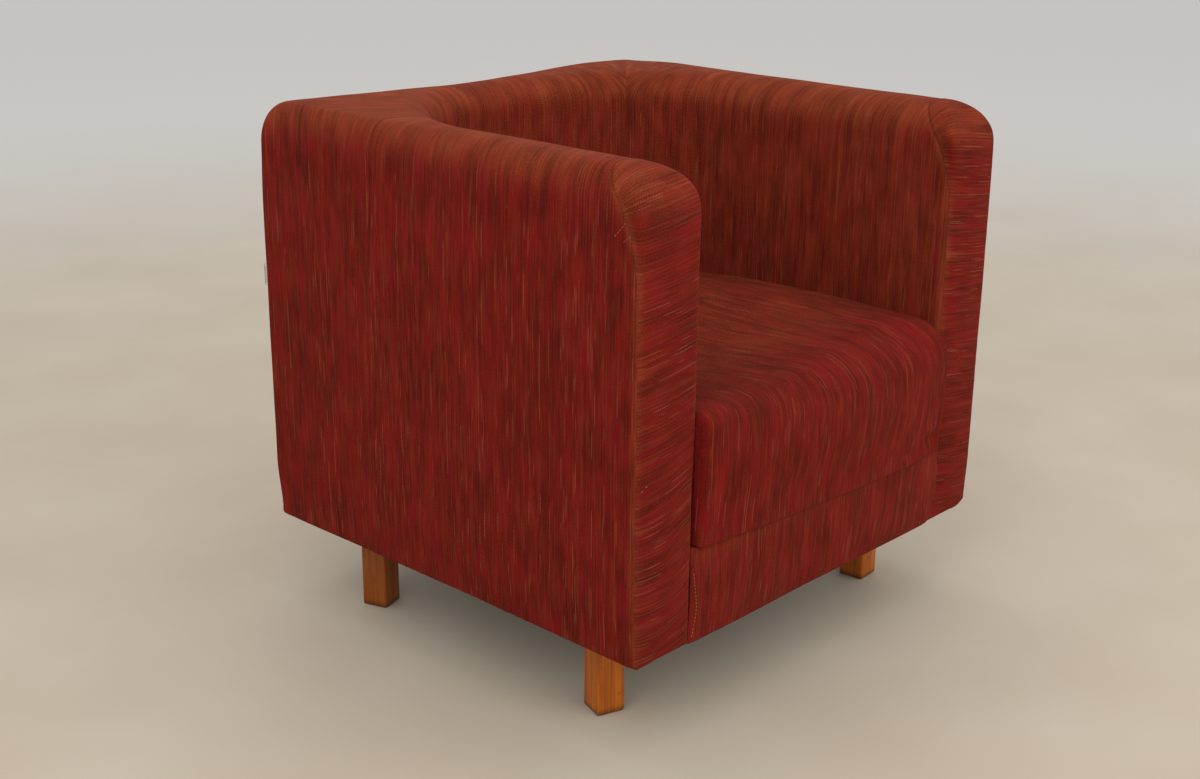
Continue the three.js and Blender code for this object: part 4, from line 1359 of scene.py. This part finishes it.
def row_tree(name, material, sides):
    """Threads or staples along a line, each lying along it and bowed outward."""
    tree = Tree(name, Pitch=0.006, Length=0.003, Rise=0.0004, Thickness=0.0003, Slant=0.0, Seed=5)
    given, node = tree.given, tree.node
    line = node("GeometryNodeMeshToCurve", {"Mesh": given["Geometry"]})
    values = {"Curve": line, "Length": given["Pitch"]}
    points = node("GeometryNodeResampleCurve", values, mode="LENGTH")
    tangent = node("GeometryNodeInputTangent")
    along = node("FunctionNodeAlignRotationToVector", {"Vector": tangent}, axis="X")
    out = node("GeometryNodeInputNamedAttribute", {"Name": "out"}, data_type="FLOAT_VECTOR")
    values = {"Rotation": along, "Vector": out}
    upright = node("FunctionNodeAlignRotationToVector", values, axis="Z", pivot_axis="X")
    values = {0: (0, 0, -SWAY), 1: (0, 0, SWAY), "Seed": given["Seed"]}
    sway = node("FunctionNodeRandomValue", values, data_type="FLOAT_VECTOR")
    slant = node("ShaderNodeCombineXYZ", {"Z": given["Slant"]})
    both = node("ShaderNodeVectorMath", {0: sway, 1: slant}, operation="ADD")
    turn = node("FunctionNodeEulerToRotation", {"Euler": both})
    values = {"Rotation": upright, "Rotate By": turn}
    turned = node("FunctionNodeRotateRotation", values, rotation_space="LOCAL")
    strand = tree.strand(given["Length"], given["Rise"], given["Thickness"], sides)
    values = {"Points": points, "Instance": strand, "Rotation": turned}
    return tree.end(node("GeometryNodeInstanceOnPoints", values), material)


def run_tree(base, group, name, slot, material, **sizes):
    """A plain mesh of what a tree makes from a base object, which goes."""
    modifier = base.modifiers.new("tree", "NODES")
    modifier.node_group = group
    for item in group.interface.items_tree:
        if item.in_out == "INPUT" and item.name in sizes:
            modifier[item.identifier] = sizes[item.name]
    depsgraph = bpy.context.evaluated_depsgraph_get()
    mesh = bpy.data.meshes.new_from_object(base.evaluated_get(depsgraph))
    bpy.data.objects.remove(base)
    finish(placed(name, mesh), slot, material=material)


def line_object(lines):
    """Poly lines as edges, with the outward direction at each point."""
    points, edges, out = [], [], []
    for line, outward in lines:
        first = len(points)
        points += [tuple(float(v) for v in place) for place in line]
        edges += [(first + i, first + i + 1) for i in range(len(line) - 1)]
        out += [tuple(float(v) for v in direction) for direction in outward]
    mesh = bpy.data.meshes.new("line")
    mesh.from_pydata(points, edges, [])
    attribute = mesh.attributes.new("out", "FLOAT_VECTOR", "POINT")
    attribute.data.foreach_set("vector", np.array(out, np.float32).ravel())
    return placed("line", mesh)


def level_line(points, outward):
    return np.array(points, float), [outward] * len(points)


def back_seam():
    """The hand-sewn edge round the outside back: up one side, along the top and down."""
    y, z = REAR + 0.0022, BOTTOM + 0.01
    right = [(BACK_RIGHT, y, z), (BACK_RIGHT, y, BACK_TOP)]
    return level_line(right + [(BACK_LEFT, y, BACK_TOP), (BACK_LEFT, y, z)], (0, 1, 0))


def staple_lines():
    """Round the underside, just inside the edge of the dust cover."""
    x = dust_high.x - STAPLE_INSET
    y0, y1 = dust_low.y + STAPLE_INSET, dust_high.y - STAPLE_INSET
    z = dust_low.z - 0.0003
    corners = [(-x, y0, z), (x, y0, z), (x, y1, z), (-x, y1, z), (-x, y0, z)]
    return level_line(corners, (0, 0, -1))


def dropped(surface, points, direction):
    """A line laid on a surface, by dropping each point along a direction."""
    way = Vector(direction)
    places = []
    for point in points:
        hit, _, _, _ = surface.ray_cast(Vector(point) - way * 0.05, way, 0.1)
        places.append(hit if hit else Vector(point))
    return np.array(places), [tuple(-way)] * len(places)


def surface_of(piece):
    return BVHTree.FromObject(piece, bpy.context.evaluated_depsgraph_get())


def between(start, end, steps=8):
    return [Vector(start).lerp(Vector(end), i / steps) for i in range(steps + 1)]


def pale_lines(border, tub, facing):
    """The stitched line at the sitter's right end of the border, and pale pulled threads."""
    front, inward = (0, 1, 0), (1, 0, 0)
    y, x = border_low.y, -HALF_WIDTH
    seam = between((-0.2545, y, 0.214), (-0.2490, y, 0.170))
    seam += between((-0.2488, y, 0.164), (-0.2530, y, 0.134))
    return [
        dropped(border, seam, front),
        dropped(border, between((0.176, y, 0.232), (0.205, y, 0.232)), front),
        dropped(tub, between((x, -0.283, 0.622), (x, -0.300, 0.640)), inward),
        dropped(tub, between((x, -0.296, 0.618), (x, -0.304, 0.624)), inward),
        dropped(facing, between((-0.3455, FRONT, 0.341), (-0.3395, FRONT, 0.345), 2), front),
    ]


def frayed_line():
    """Loose ends of yarn at the sitter's right rear corner."""
    x, y = -HALF_WIDTH - 0.0012, REAR + 0.0008
    return level_line([(x, y, 0.450), (x, y, 0.474)], (-0.7, 0.7, 0))


# Build the pieces

finish_frame_nodes()
tub = finish(tub_cloth(), "slub_cloth", "tub_cover", "back_top_pad", fill=0.8)
outside_back = finish(back_cloth(), "slub_cloth", "outside_back_cover")
facings = {}
for side, label in ((-1, "right"), (1, "left")):
    facings[label] = facing_cloth(side, f"facing_cloth_{label}")
    covered = (f"facing_cover_{label}", f"facing_pad_{label}")
    finish(facings[label], "slub_cloth", *covered, fill=0.8)
finish(seat_cloth(), "slub_cloth", "seat_cover", "seat_foam", fill=0.7)
border = finish(border_cloth(), "slub_cloth", "front_border", fill=0.7)
for label in LEG_TURNS:
    node = f"leg_{label}"
    finish(leg_piece(node, f"{node}_turned"), "leg_wood", node)
underside = finish(dust_cover_cloth(), "dust_cloth", "dust_cover")
red_rows = row_tree("red_stitches", "thread", 5)
pale_rows = row_tree("pale_stitches", "pale_thread", 5)
staple_rows = row_tree("staples", "zinc_steel", 4)
run_tree(
    line_object([back_seam()]), red_rows, "back_stitches", "slub_cloth", "thread",
    Pitch=0.009, Length=0.0045, Rise=0.0012, Thickness=0.00035, Slant=0.5, Seed=3,
)
run_tree(
    line_object([frayed_line()]), red_rows, "frayed_ends", "slub_cloth", "thread",
    Pitch=0.0028, Length=0.007, Rise=0.005, Thickness=0.0003, Slant=1.1, Seed=8,
)
run_tree(
    line_object(pale_lines(*map(surface_of, (border, tub, facings["right"])))),
    pale_rows, "pale_stitches", "slub_cloth", "pale_thread",
    Pitch=0.0046, Length=0.0024, Rise=0.0006, Thickness=0.00026, Slant=0.0, Seed=6,
)
run_tree(
    line_object([staple_lines()]), staple_rows, "dust_cover_staples", "zinc_steel", "zinc_steel",
    Pitch=0.045, Length=0.010, Rise=0.0006, Thickness=0.0005, Slant=0.0, Seed=7,
)


# Stage, light and camera


def floor():
    """A pale floor that turns into a pale backdrop far from the chair."""
    mesh = bpy.data.meshes.new("floor")
    work = bmesh.new()
    bmesh.ops.create_circle(work, cap_ends=True, segments=96, radius=40)
    work.to_mesh(mesh)
    work.free()
    made = placed("floor", mesh)
    f = Finish("pale_floor")
    place = f.place()
    x, y, _ = f.parts(place)
    away = (x * x + y * y) ** 0.5
    mottle = f.noise(place, 3, 3)
    near = f.ramp(mottle, [(0.3, linear(184, 171, 152)), (0.7, linear(192, 180, 162))])
    colour = f.mix(away.between(1.3, 4.5), near, linear(207, 205, 202))
    f.set(Base_Color=colour, Roughness=0.8)
    made.data.materials.append(f.material)


def lamp(name, place, size, power, aim=(0, 0, 0.35)):
    data = bpy.data.lights.new(name, "AREA")
    data.shape = "DISK"
    data.size = size
    data.energy = power
    made = placed(name, data)
    made.location = place
    made.rotation_euler = (Vector(aim) - Vector(place)).to_track_quat("-Z", "Y").to_euler()


def world():
    made = bpy.data.worlds.new("studio")
    made.use_nodes = True
    shade = made.node_tree.nodes["Background"]
    shade.inputs["Color"].default_value = (0.97, 0.96, 0.95, 1)
    shade.inputs["Strength"].default_value = 0.88
    bpy.context.scene.world = made


def camera():
    data = bpy.data.cameras.new("camera")
    data.lens = CAMERA_LENS
    data.sensor_width = 36
    data.sensor_fit = "HORIZONTAL"
    data.clip_end = 100
    made = placed("camera", data)
    a, e = CAMERA_AZIMUTH, CAMERA_DOWN
    back = Vector((math.sin(a) * math.cos(e), -math.cos(a) * math.cos(e), math.sin(e)))
    right = (-back).cross(Vector((0, 0, 1))).normalized()
    up = right.cross(-back)
    c, s = math.cos(CAMERA_ROLL), math.sin(CAMERA_ROLL)
    level_right = c * right + s * up
    level_up = -s * right + c * up
    turn = Matrix((level_right, level_up, back)).transposed()
    made.matrix_world = Matrix.Translation(CAMERA_PLACE) @ turn.to_4x4()
    bpy.context.scene.camera = made


floor()
world()
lamp("key", (-2.4, -1.2, 2.4), 2.6, 32)
lamp("fill", (0.9, -3.4, 1.9), 3.4, 40)
lamp("top", (0.3, 0.4, 3.4), 3.0, 12)
camera()
bpy.context.scene.view_settings.view_transform = "Standard"
